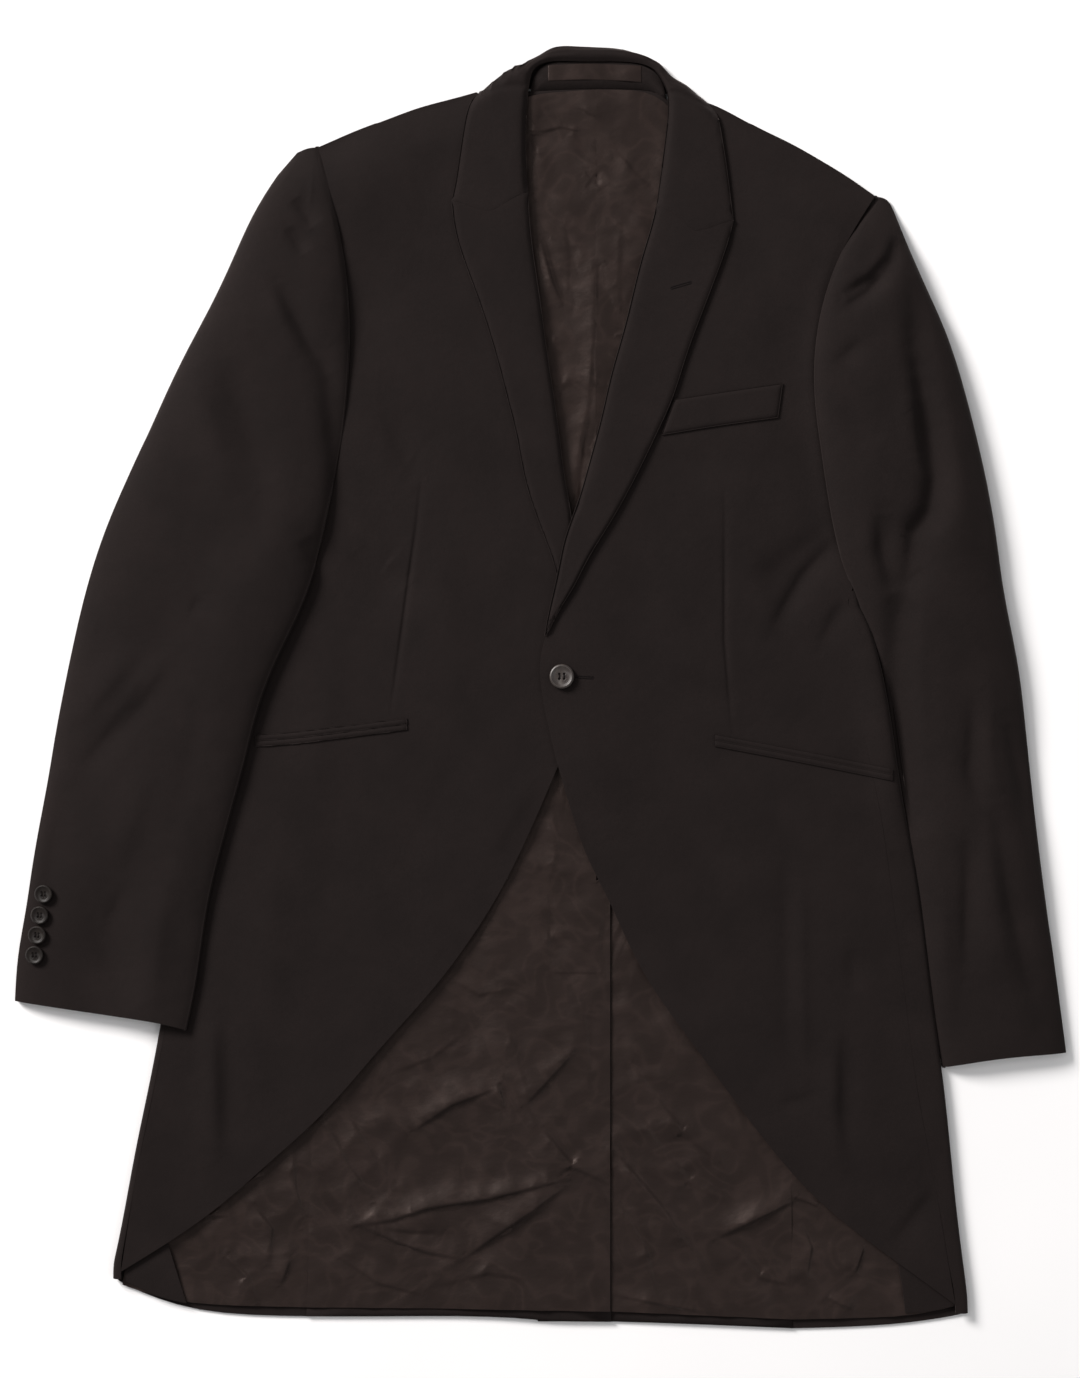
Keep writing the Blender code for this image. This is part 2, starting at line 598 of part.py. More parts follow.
def make_backs():
    """The two halves of the back; below the vent's top the right one lies on the left."""
    def levels_right(u, v, x, y):
        base = neck_lift(x, y) + vent_lift(x, y)
        turn_up = HEM_FOLD * smooth((HEM_RIGHT_Y + 9 - y) / 4) * smooth((-14 - x) / 8)
        return base, base + BACK_WALL + turn_up

    def levels_left(u, v, x, y):
        base = neck_lift(x, y)
        turn_up = HEM_FOLD * smooth((HEM_LEFT_Y + 11 - y) / 4) * smooth((x - VENT_EDGE_X - 5) / 4)
        return base, base + BACK_WALL + turn_up

    low, high = -480, NECK_SEAM_Y
    rows_right = shares_of([low, -474, -467] + BACK_HEIGHTS_RIGHT + [high], low, high)
    rows_left = shares_of([low, -474, -467] + BACK_HEIGHTS_LEFT + [high], low, high)
    slab("back_right", WOOL,
         patch(upright(BACK_OUTER_RIGHT, HEM_RIGHT_Y, 399.5, low, high),
               stepped(CENTRE_SEAM_X - SEAM_GAP / 2, VENT_EDGE_X, low, high, VENT_TOP_Y),
               Route([(-177, HEM_RIGHT_Y), (-85, -476), (-31, -475), (-1, -479), (VENT_EDGE_X, low)]),
               BACK_TOP_RIGHT),
         levels_right, [0, 0.25, 0.5, 0.7, 0.78, 0.86, 0.93, 1], rows_right)
    slab("back_left", WOOL,
         patch(stepped(CENTRE_SEAM_X + SEAM_GAP / 2, VENT_UNDER_X, low, high, VENT_TOP_Y),
               upright(BACK_OUTER_LEFT, HEM_LEFT_Y, 367, low, high),
               Route([(VENT_UNDER_X, low), (VENT_EDGE_X, -480), (122, -482), (173, HEM_LEFT_Y),
                      (190, HEM_LEFT_Y)]),
               BACK_TOP_LEFT),
         levels_left, [0, 0.14, 0.2, 0.26, 0.32, 0.6, 1], rows_left)


def make_linings():
    """The satin back lining in two halves, and its side parts inside the side panels."""
    def levels(u, v, x, y):
        base = lining_base(x, y) + lining_relief(x, y)
        return base, base + LINING_WALL

    def levels_right(u, v, x, y):
        lower, upper = levels(u, v, x, y)
        lift = vent_lift(x + 12, y - 8)
        return lower + lift, upper + lift

    low, high = -472, NECK_SEAM_Y - 0.5
    rows = shares_of([low, -464] + LINING_HEIGHTS + [high], low, high)
    columns = [0, 0.15, 0.28, 0.39, 0.49, 0.58, 0.67, 0.75, 0.83, 0.91, 1]
    mirrored = [1 - share for share in reversed(columns)]
    slab("lining_back_right", SATIN,
         patch(upright(LINING_OUTER_RIGHT, LINING_HEM_RIGHT_Y, 384, low, high),
               stepped(CENTRE_SEAM_X - SEAM_GAP / 2, VENT_EDGE_X - 0.8, low, high, VENT_TOP_Y),
               Route([(-177, LINING_HEM_RIGHT_Y), (-60, -470), (VENT_EDGE_X - 0.8, low)]), LINING_TOP_RIGHT),
         levels_right, columns, rows)
    slab("lining_back_left", SATIN,
         patch(stepped(CENTRE_SEAM_X + SEAM_GAP / 2, VENT_EDGE_X + 0.6, low, high, VENT_TOP_Y + 8),
               upright(LINING_OUTER_LEFT, LINING_HEM_LEFT_Y, 346, low, high),
               Route([(VENT_EDGE_X + 0.6, low), (122, -475), (190, LINING_HEM_LEFT_Y)]), LINING_TOP_LEFT),
         levels, mirrored, rows)

    for name, seam, edge, gap, hem_y, high in (
            ("right", LINING_OUTER_RIGHT, INNER_EDGE_RIGHT, -SEAM_GAP, LINING_HEM_RIGHT_Y, 90),
            ("left", LINING_OUTER_LEFT, INNER_EDGE_LEFT, SEAM_GAP, LINING_HEM_LEFT_Y, 20)):
        edge_hem = edge.points[0].y
        heights = [height for height in LINING_SIDE_HEIGHTS if height < high]
        rows = shares_of([low, -464] + heights + [high], low, high)
        inner = upright(seam, hem_y, high, low, high, gap)
        outer = upright(edge, edge_hem, high, low, high)
        corner_x = edge.points[0].x
        hem = Route([(corner_x, edge_hem), (mix(corner_x, inner(0).x, 0.3), mix(edge_hem, hem_y, 0.75)),
                     tuple(inner(0))])
        left, right = outer, inner
        if name == "left":
            left, right = inner, outer
            hem = Route(list(reversed(hem.points)))
        slab("lining_side_" + name, SATIN, patch(left, right, hem, Route([left(1), right(1)])),
             levels, even(5), rows)


def make_hem_facings():
    """Wool turned up inside the two front corners of the skirt."""
    def levels(u, v, x, y):
        return FACING_LEVEL, FACING_LEVEL + FACING_WALL

    slab("hem_facing_right", WOOL,
         patch(Route([(-314, -449), (-313, -430), (-309, -408)]),
               Route([(-268, -465.5), (-276, -440), (-284, -414)]),
               Route([(-314, -449), (-303, -454), (-288, -461), (-268, -465.5)]),
               Route([(-309, -408), (-284, -414)])),
         levels, even(4), even(3))
    slab("hem_facing_left", WOOL,
         patch(Route([(276, -473), (273, -448), (268, -424)]),
               Route([(314, -467), (309, -448), (302, -424)]),
               Route([(276, -473), (296, -471.5), (314, -467)]),
               Route([(268, -424), (302, -424)])),
         levels, even(4), even(3))


def side_section(seam, edge, back, top, hem_y, outward):
    """A panel that wraps round the coat's side. Its u counts three stretches, each 1 long:
    the flat top from the front's seam, the round fold, and the part below it."""
    def place(u, y):
        stretch = u if outward > 0 else 3 - u
        fold_x = edge.x_at(y)
        seam_x = seam.x_at(y) + outward * TOP_SEAM_GAP
        back_x = back.x_at(y) + outward * SEAM_GAP
        height = top(seam_x, y)
        radius = height / 2
        turn_x = fold_x - outward * radius
        shift_x = fold_x
        if stretch < 1:
            x = mix(seam_x, turn_x, stretch)
            z = height
        elif stretch < 2:
            angle = (stretch - 1) * math.pi
            x = turn_x + outward * radius * math.sin(angle)
            z = radius + radius * math.cos(angle)
        else:
            x = mix(turn_x, back_x, stretch - 2)
            z = 0.0
            shift_x = x
        shift = (HEM.y_at(shift_x) - hem_y) * smooth((hem_y + 60 - y) / 60)
        return Vector((x, y + shift, z))
    return place


def make_side_panels():
    columns = [0, 1, 1.17, 1.33, 1.5, 1.67, 1.83, 2, 2.4, 3]
    mirrored = [3 - stretch for stretch in reversed(columns)]
    shell("side_panel_left", WOOL,
          side_section(SIDE_LINE_LEFT, BODY_EDGE_LEFT, BACK_OUTER_LEFT, front_left_top,
                       HEM_LEFT_Y, 1),
          columns, [HEM_LEFT_Y, -468, -440] + SIDE_HEIGHTS + [54, 67], SIDE_WALL)
    shell("side_panel_right", WOOL,
          side_section(SIDE_LINE_RIGHT, BODY_EDGE_RIGHT, BACK_OUTER_RIGHT, front_right_top,
                       HEM_RIGHT_Y, -1),
          mirrored, [HEM_RIGHT_Y, -460, -435] + SIDE_HEIGHTS + [66, 90], SIDE_WALL)


def make_fronts():
    rows = [index / 21 for index in range(13)] + [mix(12 / 21, 1, index / 13) for index in range(1, 14)]
    plan_right = patch(SIDE_LINE_RIGHT, Route(FRONT_EDGE_RIGHT),
                       CUTAWAY_RIGHT, FRONT_TOP_RIGHT)
    plan_left = patch(Route(FRONT_EDGE_LEFT), SIDE_LINE_LEFT,
                      CUTAWAY_LEFT, FRONT_TOP_LEFT)
    right = front_levels(front_right_top, front_right_under)
    left = front_levels(front_left_top, front_left_under)
    slab("front_right", WOOL, plan_right, lambda u, v, x, y: right(x, y), even(14), rows)
    slab("front_left", WOOL, plan_left, lambda u, v, x, y: left(x, y), even(14), rows)


def lapel_levels(roll, edge, roll_u, front_top, fade_y):
    """A lapel lies on its front and rolls down into the V of the neck."""
    def levels(u, v, x, y):
        from_roll = abs(u - roll_u)
        distance = from_roll * (edge(v) - roll(v)).length
        depth = smooth((y - fade_y) / 32)
        flat = front_top(x, y) + LAPEL_GAP + LAPEL_LIFT * smooth(from_roll)
        low = mix(flat, lining_base(x, y) + LINING_WALL + 1.2, depth)
        lower = mix(low, flat, quarter_round(distance, ROLL_WIDTH))
        upper = mix(low + LAPEL_WALL * 0.8, flat + LAPEL_WALL, quarter_round(distance + 2.5, ROLL_WIDTH))
        return lower, upper
    return levels


def make_lapels():
    from_edge = [1 - share for share in reversed(ROLL_COLUMNS)]
    slab("lapel_right", WOOL,
         patch(LAPEL_EDGE_RIGHT, ROLL_RIGHT, Route([(13.5, 80.5), (16.5, 80)]),
               Route(list(reversed(GORGE_RIGHT.points)))),
         lapel_levels(ROLL_RIGHT, LAPEL_EDGE_RIGHT, 1, front_right_top, 112), from_edge, even(16))
    slab("lapel_left", WOOL,
         patch(ROLL_LEFT, LAPEL_EDGE_LEFT, Route([(3.2, 39), (6.6, 42.6)]), GORGE_LEFT),
         lapel_levels(ROLL_LEFT, LAPEL_EDGE_LEFT, 0, front_left_top, 130), ROLL_COLUMNS, even(18))


def collar_row(u):
    """One section of the collar, read smoothly between the rows of its table."""
    last = len(COLLAR_ROWS) - 1
    mark = u * last
    index = min(int(mark), last - 1)
    t = mark - index
    near = [COLLAR_ROWS[min(max(index + step, 0), last)] for step in (-1, 0, 1, 2)]
    return [((2 * b) + (c - a) * t + (2 * a - 5 * b + 4 * c - d) * t**2 + (3 * b - 3 * c + d - a) * t**3) / 2
            for a, b, c, d in zip(*near)]


def collar_place(u, v):
    """The fall of the collar: flat on each front, folded under along the back of the neck."""
    inner_x, inner_y, outer_x, outer_y, inner_z, height, curl, under = collar_row(u)
    inner = Vector((inner_x, inner_y))
    outward = Vector((outer_x, outer_y)) - inner
    width = outward.length
    outward.normalize()
    angle = math.radians(curl)
    radius = height / (1 - math.cos(max(angle, math.pi / 2)))
    flat = width - radius * math.sin(min(angle, math.pi / 2))
    way = v * (flat + radius * angle + under)
    rise = quarter_round(way + 0.6, min(COLLAR_ROLL, flat))
    beyond = 0.0
    if way < flat:
        aside = way
        z = mix(inner_z, height, rise)
    else:
        turned = min(way - flat, radius * angle) / radius
        beyond = max(way - flat - radius * angle, 0.0)
        aside = flat + radius * math.sin(turned)
        z = height - radius * (1 - math.cos(turned))
    spread = Vector((mix(-COLLAR_SPREAD, COLLAR_SPREAD, u), -1)).normalized()
    point = inner + outward * aside + spread * beyond
    for gorge, at_end in ((GORGE_RIGHT, u), (GORGE_LEFT, 1 - u)):
        near = 1 - smooth(at_end / COLLAR_END_SHARE)
        if near > 0:
            straight = mix(gorge(0), gorge(1), v)
            point += (gorge(v) - straight) * near
    point.y += COLLAR_SEAM * (1 - smooth(min(u, 1 - u) / COLLAR_END_SHARE))
    return Vector((point.x, point.y, max(z, 0.0)))


def make_collar():
    last = len(COLLAR_ROWS) - 1
    halves = [mark / 2 for mark in range(2 * last + 1)]
    marks = [mark for mark in halves if mark.is_integer() or COLLAR_BEND < mark < last - COLLAR_BEND]
    shell("collar_fall", WOOL, collar_place, [mark / last for mark in marks], ROLL_COLUMNS, COLLAR_WALL)

    def stand_levels(u, v, x, y):
        return NECK_LIFT, NECK_LIFT + STAND_WALL

    slab("collar_stand", WOOL,
         patch(Route([(-7.5, 451), (-6.5, 458), (-3.6, 465.3), (3, 471.2)]),
               Route([(95, 444.5), (94, 453), (91.5, 459), (88.5, 463.3)]),
               Route([(-7.5, 451), (20, 452.3), (42, 452.7), (60, 452.5), (88.3, 450.7), (95, 444.5)]),
               Route([(3, 471.2), (12, 472.3), (28, 472.4), (60, 472.4), (77, 470.3), (88.5, 463.3)])),
         stand_levels, even(10), even(2))

    def loop_levels(u, v, x, y):
        return NECK_LIFT + LOOP_LEVEL, NECK_LIFT + LOOP_LEVEL + LOOP_WALL

    slab("hanger_loop", SATIN,
         patch(Route([(6, 458.6), (6, 469.8)]), Route([(76, 457.6), (76, 469.4)]),
               Route([(6, 458.6), (40, 459.5), (76, 457.6)]), Route([(6, 469.8), (40, 471), (76, 469.4)])),
         loop_levels, even(8), even(1))


def sleeve_base(x, y):
    """The right sleeve lies partly on the coat's side, below the armhole."""
    if x > 0:
        return 0.0
    beside = smooth((x - BODY_EDGE_RIGHT.x_at(y) + 40) / 23)
    below = smooth((172 - y) / 40)
    return SLEEVE_ON_BODY * beside * below


def sleeve_height(v):
    """Height of the arched top sheet, read from the cuff to the armhole."""
    mark = v * (len(SLEEVE_HEIGHTS) - 1)
    index = min(int(mark), len(SLEEVE_HEIGHTS) - 2)
    return mix(SLEEVE_HEIGHTS[index], SLEEVE_HEIGHTS[index + 1], mark - index)


def arched(plan, inner_u, armpit_y, front_levels_at, folds):
    """The top sheet of a sleeve: u turns from its left edge over to its right edge.
    Below the armpit both edges reach down to the under sheet; above it the inner one
    meets the front at the armhole."""
    def place(u, v):
        angle = math.pi * (1 - u)
        side = math.cos(angle)
        across = math.copysign(min(1.02 * abs(side) ** SLEEVE_FLATNESS, 1.0), side)
        rise = math.sin(angle) ** SLEEVE_FLATNESS if 0 < u < 1 else 0.0
        share = (1 + across) / 2
        point = plan(share, v)
        is_inner = (share > 0.5) == (inner_u == 1)
        edge = plan(round(share), v)
        low = sleeve_base(edge.x, edge.y) + SLEEVE_RIM
        if is_inner:
            joined = front_levels_at(edge.x, edge.y)[1]
            low = mix(low, joined, smooth((edge.y - armpit_y + 4) / 26))
        crown = sleeve_height(v) + 0.55 * sleeve_base(point.x, point.y) + relief(point.x, point.y, folds)
        tip = quarter_round((1 - v) * SLEEVE_TIP_REACH, 1.0)
        return Vector((point.x, point.y, mix(mix(low, 2.0, 1 - tip), crown, rise * tip)))
    return place


def make_sleeves():
    plan_right = patch(SLEEVE_OUTER_RIGHT, SLEEVE_INNER_RIGHT, CUFF_RIGHT, SLEEVE_TIP_RIGHT)
    plan_left = patch(SLEEVE_INNER_LEFT, SLEEVE_OUTER_LEFT, CUFF_LEFT, SLEEVE_TIP_LEFT)
    right_front = front_levels(front_right_top, front_right_under)
    left_front = front_levels(front_left_top, front_left_under)
    rows = even(20)
    tops = {}
    for name, plan, inner_u, armpit_y, narrow_y, front, folds in (
            ("right", plan_right, 1, 126, 103, right_front, SLEEVE_FOLDS_RIGHT),
            ("left", plan_left, 0, 79, 79, left_front, SLEEVE_FOLDS_LEFT)):
        tops[name] = arched(plan, inner_u, armpit_y, front, folds)
        shell("sleeve_top_" + name, WOOL, tops[name], even(14), rows, SLEEVE_WALL)

        def inset(u, v, plan=plan, inner_u=inner_u, narrow_y=narrow_y):
            edge = plan(inner_u, v)
            inner = mix(-SLEEVE_UNDER_OUT, SLEEVE_UNDER_IN, smooth((edge.y - narrow_y + 8) / 8))
            margins = (SLEEVE_UNDER_MARGIN, inner) if inner_u == 1 else (inner, SLEEVE_UNDER_MARGIN)
            width = (plan(1, v) - plan(0, v)).length
            return plan(mix(margins[0] / width, 1 - margins[1] / width, u), v * 0.985)

        def under_levels(u, v, x, y):
            base = sleeve_base(x, y)
            return base, base + BACK_WALL

        slab("sleeve_under_" + name, WOOL, inset, under_levels, even(5), rows)
    return tops


def make_pockets():
    """Two hip pockets, each with two narrow jets, and the chest pocket's welt."""
    slits = {
        "right": (Route([(-215, -40.5), (-190, -39), (-101, -28)]), front_right_top),
        "left": (Route([(131, -40), (200, -53), (265, -66)]), front_left_top),
    }
    for name, (slit, top) in slits.items():
        def levels(u, v, x, y, top=top):
            base = top(x, y) + TRIM_GAP
            return base, base + JET_WALL

        for part, near, far in (("lower", -JET_WIDTH, -JET_SLIT), ("upper", JET_SLIT, JET_WIDTH)):
            def plan(u, v, slit=slit, near=near, far=far):
                return slit(u) + Vector((0, mix(near, far, v)))
            slab("pocket_jet_" + part + "_" + name, WOOL, plan, levels, even(8), even(1))

    def welt_levels(u, v, x, y):
        base = front_left_top(x, y) + TRIM_GAP
        return base, base + WELT_WALL

    slab("chest_welt", WOOL,
         patch(Route([(91.5, 190.5), (101, 217)]), Route([(179, 203.5), (182.5, 229)]),
               Route([(91.5, 190.5), (135, 197.5), (179, 203.5)]),
               Route([(101, 217), (141, 223), (182.5, 229)])),
         welt_levels, even(8), even(3))


def make_button(name, radius, thickness, centre, normal):
    """A turned button with a raised rim and four holes; its origin is its underside's centre."""
    bm = bmesh.new()
    verts = [bm.verts.new((share * radius * MM, 0, level * thickness * MM))
             for share, level in BUTTON_PROFILE]
    edges = [bm.edges.new(pair) for pair in zip(verts, verts[1:])]
    bmesh.ops.spin(bm, geom=verts + edges, cent=(0, 0, 0), axis=(0, 0, 1), angle=math.tau,
                   steps=BUTTON_SIDES, use_merge=True)
    bmesh.ops.remove_doubles(bm, verts=bm.verts, dist=0.00001)
    bmesh.ops.recalc_face_normals(bm, faces=bm.faces)
    mesh = bpy.data.meshes.new(name)
    bm.to_mesh(mesh)
    bm.free()
    mesh.shade_smooth()
    mesh.set_sharp_from_angle(angle=math.radians(SHARP_DEGREES))
    item = add_object(name, mesh, HORN)
    item.location = centre * MM
    item.rotation_mode = "QUATERNION"
    item.rotation_quaternion = normal.to_track_quat("Z", "Y")
    cut_holes(item, radius, thickness)
    return item


def cut_holes(button, radius, thickness):
    """Four holes through the button, cut by six-sided rods."""
    bm = bmesh.new()
    hole_radius = radius * BUTTON_HOLE_SHARE * MM
    for index in range(BUTTON_HOLES):
        angle = math.tau * (index + 0.5) / BUTTON_HOLES
        place = Vector((math.cos(angle), math.sin(angle), 0)) * radius * BUTTON_HOLE_RING * MM
        place.z = thickness * 0.5 * MM
        made = bmesh.ops.create_cone(bm, cap_ends=True, segments=6, radius1=hole_radius,
                                     radius2=hole_radius, depth=thickness * 3 * MM)
        bmesh.ops.translate(bm, verts=made["verts"], vec=place)
    mesh = bpy.data.meshes.new(button.name + "_holes")
    bm.to_mesh(mesh)
    bm.free()
    cutter = bpy.data.objects.new(button.name + "_holes", mesh)
    CUTTERS.objects.link(cutter)
    cutter.parent = button
    cutter.hide_render = True
    cutter.display_type = "WIRE"
    boolean = button.modifiers.new("Holes", "BOOLEAN")
    boolean.operation = "DIFFERENCE"
    boolean.solver = "EXACT"
    boolean.object = cutter


def find_share(place, x, y, guess):
    """The u and v at which a sheet passes over the plan point x, y."""
    u, v = guess
    step = 0.002
    for _ in range(12):
        here = place(u, v)
        by_u = (place(u + step, v) - here) / step
        by_v = (place(u, v + step) - here) / step
        off_x = x - here.x
        off_y = y - here.y
        size = by_u.x * by_v.y - by_u.y * by_v.x
        u += (off_x * by_v.y - off_y * by_v.x) / size
        v += (off_y * by_u.x - off_x * by_u.y) / size
    return u, v


def make_buttons(right_sleeve):
    x, y = FRONT_BUTTON_PLACE
    centre = Vector((x, y, front_left_top(x, y) + 0.5))
    make_button("front_button", FRONT_BUTTON_RADIUS, FRONT_BUTTON_DEPTH, centre, Vector((0, 0, 1)))
    for index, (x, y) in enumerate(CUFF_BUTTON_PLACES, start=1):
        u, v = find_share(right_sleeve, x, y, (0.25, 0.1))
        here = right_sleeve(u, v)
        by_u = right_sleeve(u + 0.05, v) - right_sleeve(u - 0.05, v)
        by_v = right_sleeve(u, v + 0.01) - right_sleeve(u, v - 0.01)
        normal = by_u.cross(by_v).normalized()
        make_button("cuff_button_" + str(index), CUFF_BUTTON_RADIUS, CUFF_BUTTON_DEPTH, here + normal, normal)


for existing in list(bpy.data.objects):
    bpy.data.objects.remove(existing, do_unlink=True)
PARTS = bpy.data.collections.new("Blazer")
CUTTERS = bpy.data.collections.new("Cutters")
bpy.context.scene.collection.children.link(PARTS)
bpy.context.scene.collection.children.link(CUTTERS)
make_backs()
make_linings()
make_hem_facings()
make_side_panels()
make_fronts()
make_lapels()
make_collar()
SLEEVE_TOPS = make_sleeves()
make_pockets()
make_buttons(SLEEVE_TOPS["right"])
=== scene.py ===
import math

import bmesh
import bpy
from mathutils import Matrix, Vector, noise
from mathutils.bvhtree import BVHTree
from mathutils.kdtree import KDTree


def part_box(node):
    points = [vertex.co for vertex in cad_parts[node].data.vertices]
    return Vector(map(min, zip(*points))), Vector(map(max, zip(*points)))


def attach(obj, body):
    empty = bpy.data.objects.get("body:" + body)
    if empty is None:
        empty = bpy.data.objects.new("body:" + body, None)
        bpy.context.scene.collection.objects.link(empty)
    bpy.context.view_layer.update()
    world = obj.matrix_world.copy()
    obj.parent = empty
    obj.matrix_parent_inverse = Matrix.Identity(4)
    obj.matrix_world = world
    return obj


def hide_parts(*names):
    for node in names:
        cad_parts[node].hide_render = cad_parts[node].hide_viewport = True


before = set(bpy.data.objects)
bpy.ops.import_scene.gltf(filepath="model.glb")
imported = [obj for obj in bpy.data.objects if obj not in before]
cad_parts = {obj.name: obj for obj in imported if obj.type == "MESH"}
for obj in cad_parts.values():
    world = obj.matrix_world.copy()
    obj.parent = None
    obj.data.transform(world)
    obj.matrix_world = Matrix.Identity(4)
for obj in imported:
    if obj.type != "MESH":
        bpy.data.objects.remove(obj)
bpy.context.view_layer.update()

MM = 0.001

# Splitting of cloth that shows: the usual edge length in millimetres, how many times longer an
# edge may be than is asked for, the share of the usual length under which none is split, the
# number of rounds, and how far up a face has to look
FINE = 3.8
EDGE_SLACK = 1.4
SHORTEST_SHARE = 0.35
SPLIT_ROUNDS = 7
LEAST_FACING = 0.15

# Angle from which an edge belongs to the rim of a cut piece, and from which it is drawn sharp
RIM_ANGLE = math.radians(42)
SHARP_ANGLE = math.radians(50)

# Width of the rounding along a sharp rim and the height from which rims get it, in metres
RIM_ROUND = 0.0003
RIM_ROUND_FROM = 0.0008

# Widths away from its line at which a crease has died out, the share of its length at each end
# over which it fades no further, and how steeply it fades toward its ends
CREASE_END = 2.6
END_SHARE = 0.03
FADE_POWER = 0.7

# Widths from a crease's line that count as close to it and as beside it, and the edge length asked
# for in each, as a share of the width
CLOSE_WIDTHS = 0.9
BESIDE_WIDTHS = 2.0
CLOSE_LENGTH = 0.24
BESIDE_LENGTH = 0.5

# The deepest that the lining's creases go, in millimetres
LINING_DEPTH = -0.9

# Heights in metres at which cloth begins to follow its creases, and over which it comes to follow
# them fully
LOOSE_FROM = {"body": (0.0032, 0.002), "arm": (0.0045, 0.006)}

# Metres above a place from where covering cloth is looked for, how far up it is looked for, and
# how far in under a covering edge the lining is still made fine
COVER_GAP = 0.0012
COVER_REACH = 0.05
COVER_MARGIN = 0.006

# Space between the turned rings of a button, as a share of its width
RING_SHARE = 0.055

# Unevenness of cloth that lies loose: height in millimetres, and how close its swells are
RUMPLE = {"body": (0.35, 14.0), "arm": (0.55, 17.0), "lining": (1.15, 30.0)}

# Millimetres that a cloth's edge reaches out to meet its neighbour at a seam
SEAM_FILL = 0.3
ARMHOLE_FILL = 1.1
NECK_FILL = 1.6

# Where the neck's reach begins and over how much it grows, in millimetres, and how near in metres
# a sleeve's edge is to the body at its armhole
NECK_LINE_Y = 426
NECK_RISE = 14
ARMHOLE_NEAR = 0.003

# Millimetres that a sleeve sinks beside its armhole, and metres from the seam to where it stops
ARMHOLE_SINK = {"sleeve_top_left": 2.3, "sleeve_top_right": 0.9}
SINK_REACH = 0.005

# Corners and edges that run on under the next piece: corner, target and reach in millimetres
CORNERS = {
    "front_right": [((-57, 446), (-46, 448.5), 24)],
    "front_left": [((138, 434.5), (126, 440.2), 24), ((229.5, 80), (235, 79), 17)],
    "side_panel_left": [((235, 67), (236.5, 72.5), 9)],
    "lining_back_right": [((45, -149), (45.5, -144.5), 4.5)],
    "collar_fall": [((-20, 462), (-22, 465.8), 28), ((100, 464), (98.5, 461.5), 16)],
}

# Metres within which a rim counts as sewn to the next piece, so that it isn't pressed
SEWN_NEAR = 0.0022

# Pressed edges: millimetres that the top gives way at the rim, and how far in it does
PRESSED = {
    "lapel_left": (1.3, 3.4),
    "lapel_right": (1.2, 3.4),
    "collar_fall": (1.2, 3.4),
    "chest_welt": (0.8, 2.2),
    "pocket_jets_left": (0.5, 1.5),
    "pocket_jets_right": (0.5, 1.5),
}

# Creases: places along the line, half width and height, all in millimetres
# A height above zero is a ridge and one below zero a trough
BODY_CREASES = [
    ([(226, 345), (211, 300), (205, 260), (204, 232), (208, 190), (213, 156), (219.5, 118), (226, 93),
      (231, 78)], 4.5, 0.8),
    ([(242, 66), (248, 34), (255, 2), (261, -40), (267, -90), (271, -120)], 9, 2.4),
    ([(-118, 212), (-106, 184), (-92, 152)], 9, -0.9),
    ([(-140, 104), (-122, 86), (-104, 71)], 9, -1.0),
    ([(-132, 116), (-114, 98), (-98, 84)], 7, 0.6),
    ([(-248, -250), (-247, -300), (-246, -356)], 7, 1.3),
    ([(-236, -250), (-235, -300), (-236, -350)], 8, -0.8),
    ([(-204, -120), (-206, -190), (-208, -262)], 16, 0.8),
    ([(-150, -60), (-156, -130), (-170, -190)], 14, -0.5),
    ([(-70, 130), (-76, 60), (-68, -14)], 16, 0.6),
    ([(-160, 30), (-164, -20), (-176, -80)], 14, 0.7),
    ([(-60, -40), (-76, -84), (-104, -128)], 12, -0.5),
    ([(-140, 330), (-132, 290), (-134, 250)], 14, -0.7),
    ([(-90, 410), (-84, 370), (-86, 330)], 16, -0.5),
    ([(218, 119), (200, 104), (178, 88), (160, 78)], 12, -1.8),
    ([(224, 110), (210, 96), (199, 84), (186, 62), (174, 40)], 6, -1.9),
    ([(232, 66), (222, 52), (212, 30)], 6, -1.1),
    ([(74, 172), (110, 168), (160, 166)], 13, -0.8),
    ([(84, 26), (118, 18), (150, -4)], 13, 0.8),
    ([(186, -120), (186, -191), (187, -267), (192, -306)], 7, -0.7),
    ([(196, -140), (197, -200), (199, -290)], 6, 0.8),
    ([(230, -262), (230, -323), (235, -362)], 7, -1.1),
    ([(223, -256), (222, -320), (226, -352)], 6, 1.0),
    ([(236, -196), (236, -232)], 7, -0.9),
    ([(177, -316), (194, -313), (211, -307)], 5, -0.6),
    ([(300, -378), (285, -398), (267, -421)], 6, -1.0),
    ([(112, 120), (108, 60), (106, -6)], 17, 0.7),
    ([(160, 130), (166, 70), (170, 10)], 14, 0.5),
    ([(92, -70), (112, -112), (140, -160)], 13, -0.5),
    ([(150, 380), (156, 340), (162, 300)], 16, -0.6),
    ([(186, 300), (184, 260), (190, 230)], 14, -0.5),
    ([(28, -30), (42, -60), (60, -96)], 9, 0.5),
    ([(-4, -66), (-22, -96), (-44, -132)], 8, 0.5),
]

# Darts and pressed seams: narrow grooves in the fronts
BODY_SEAMS = [
    ([(-90, 158), (-94, 119), (-99, 84), (-105, 40), (-110, 4), (-113, -17)], 1.6, -0.6),
    ([(139, 149), (139, 96), (139, 35), (142, -2), (145, -34)], 1.6, -0.6),
]

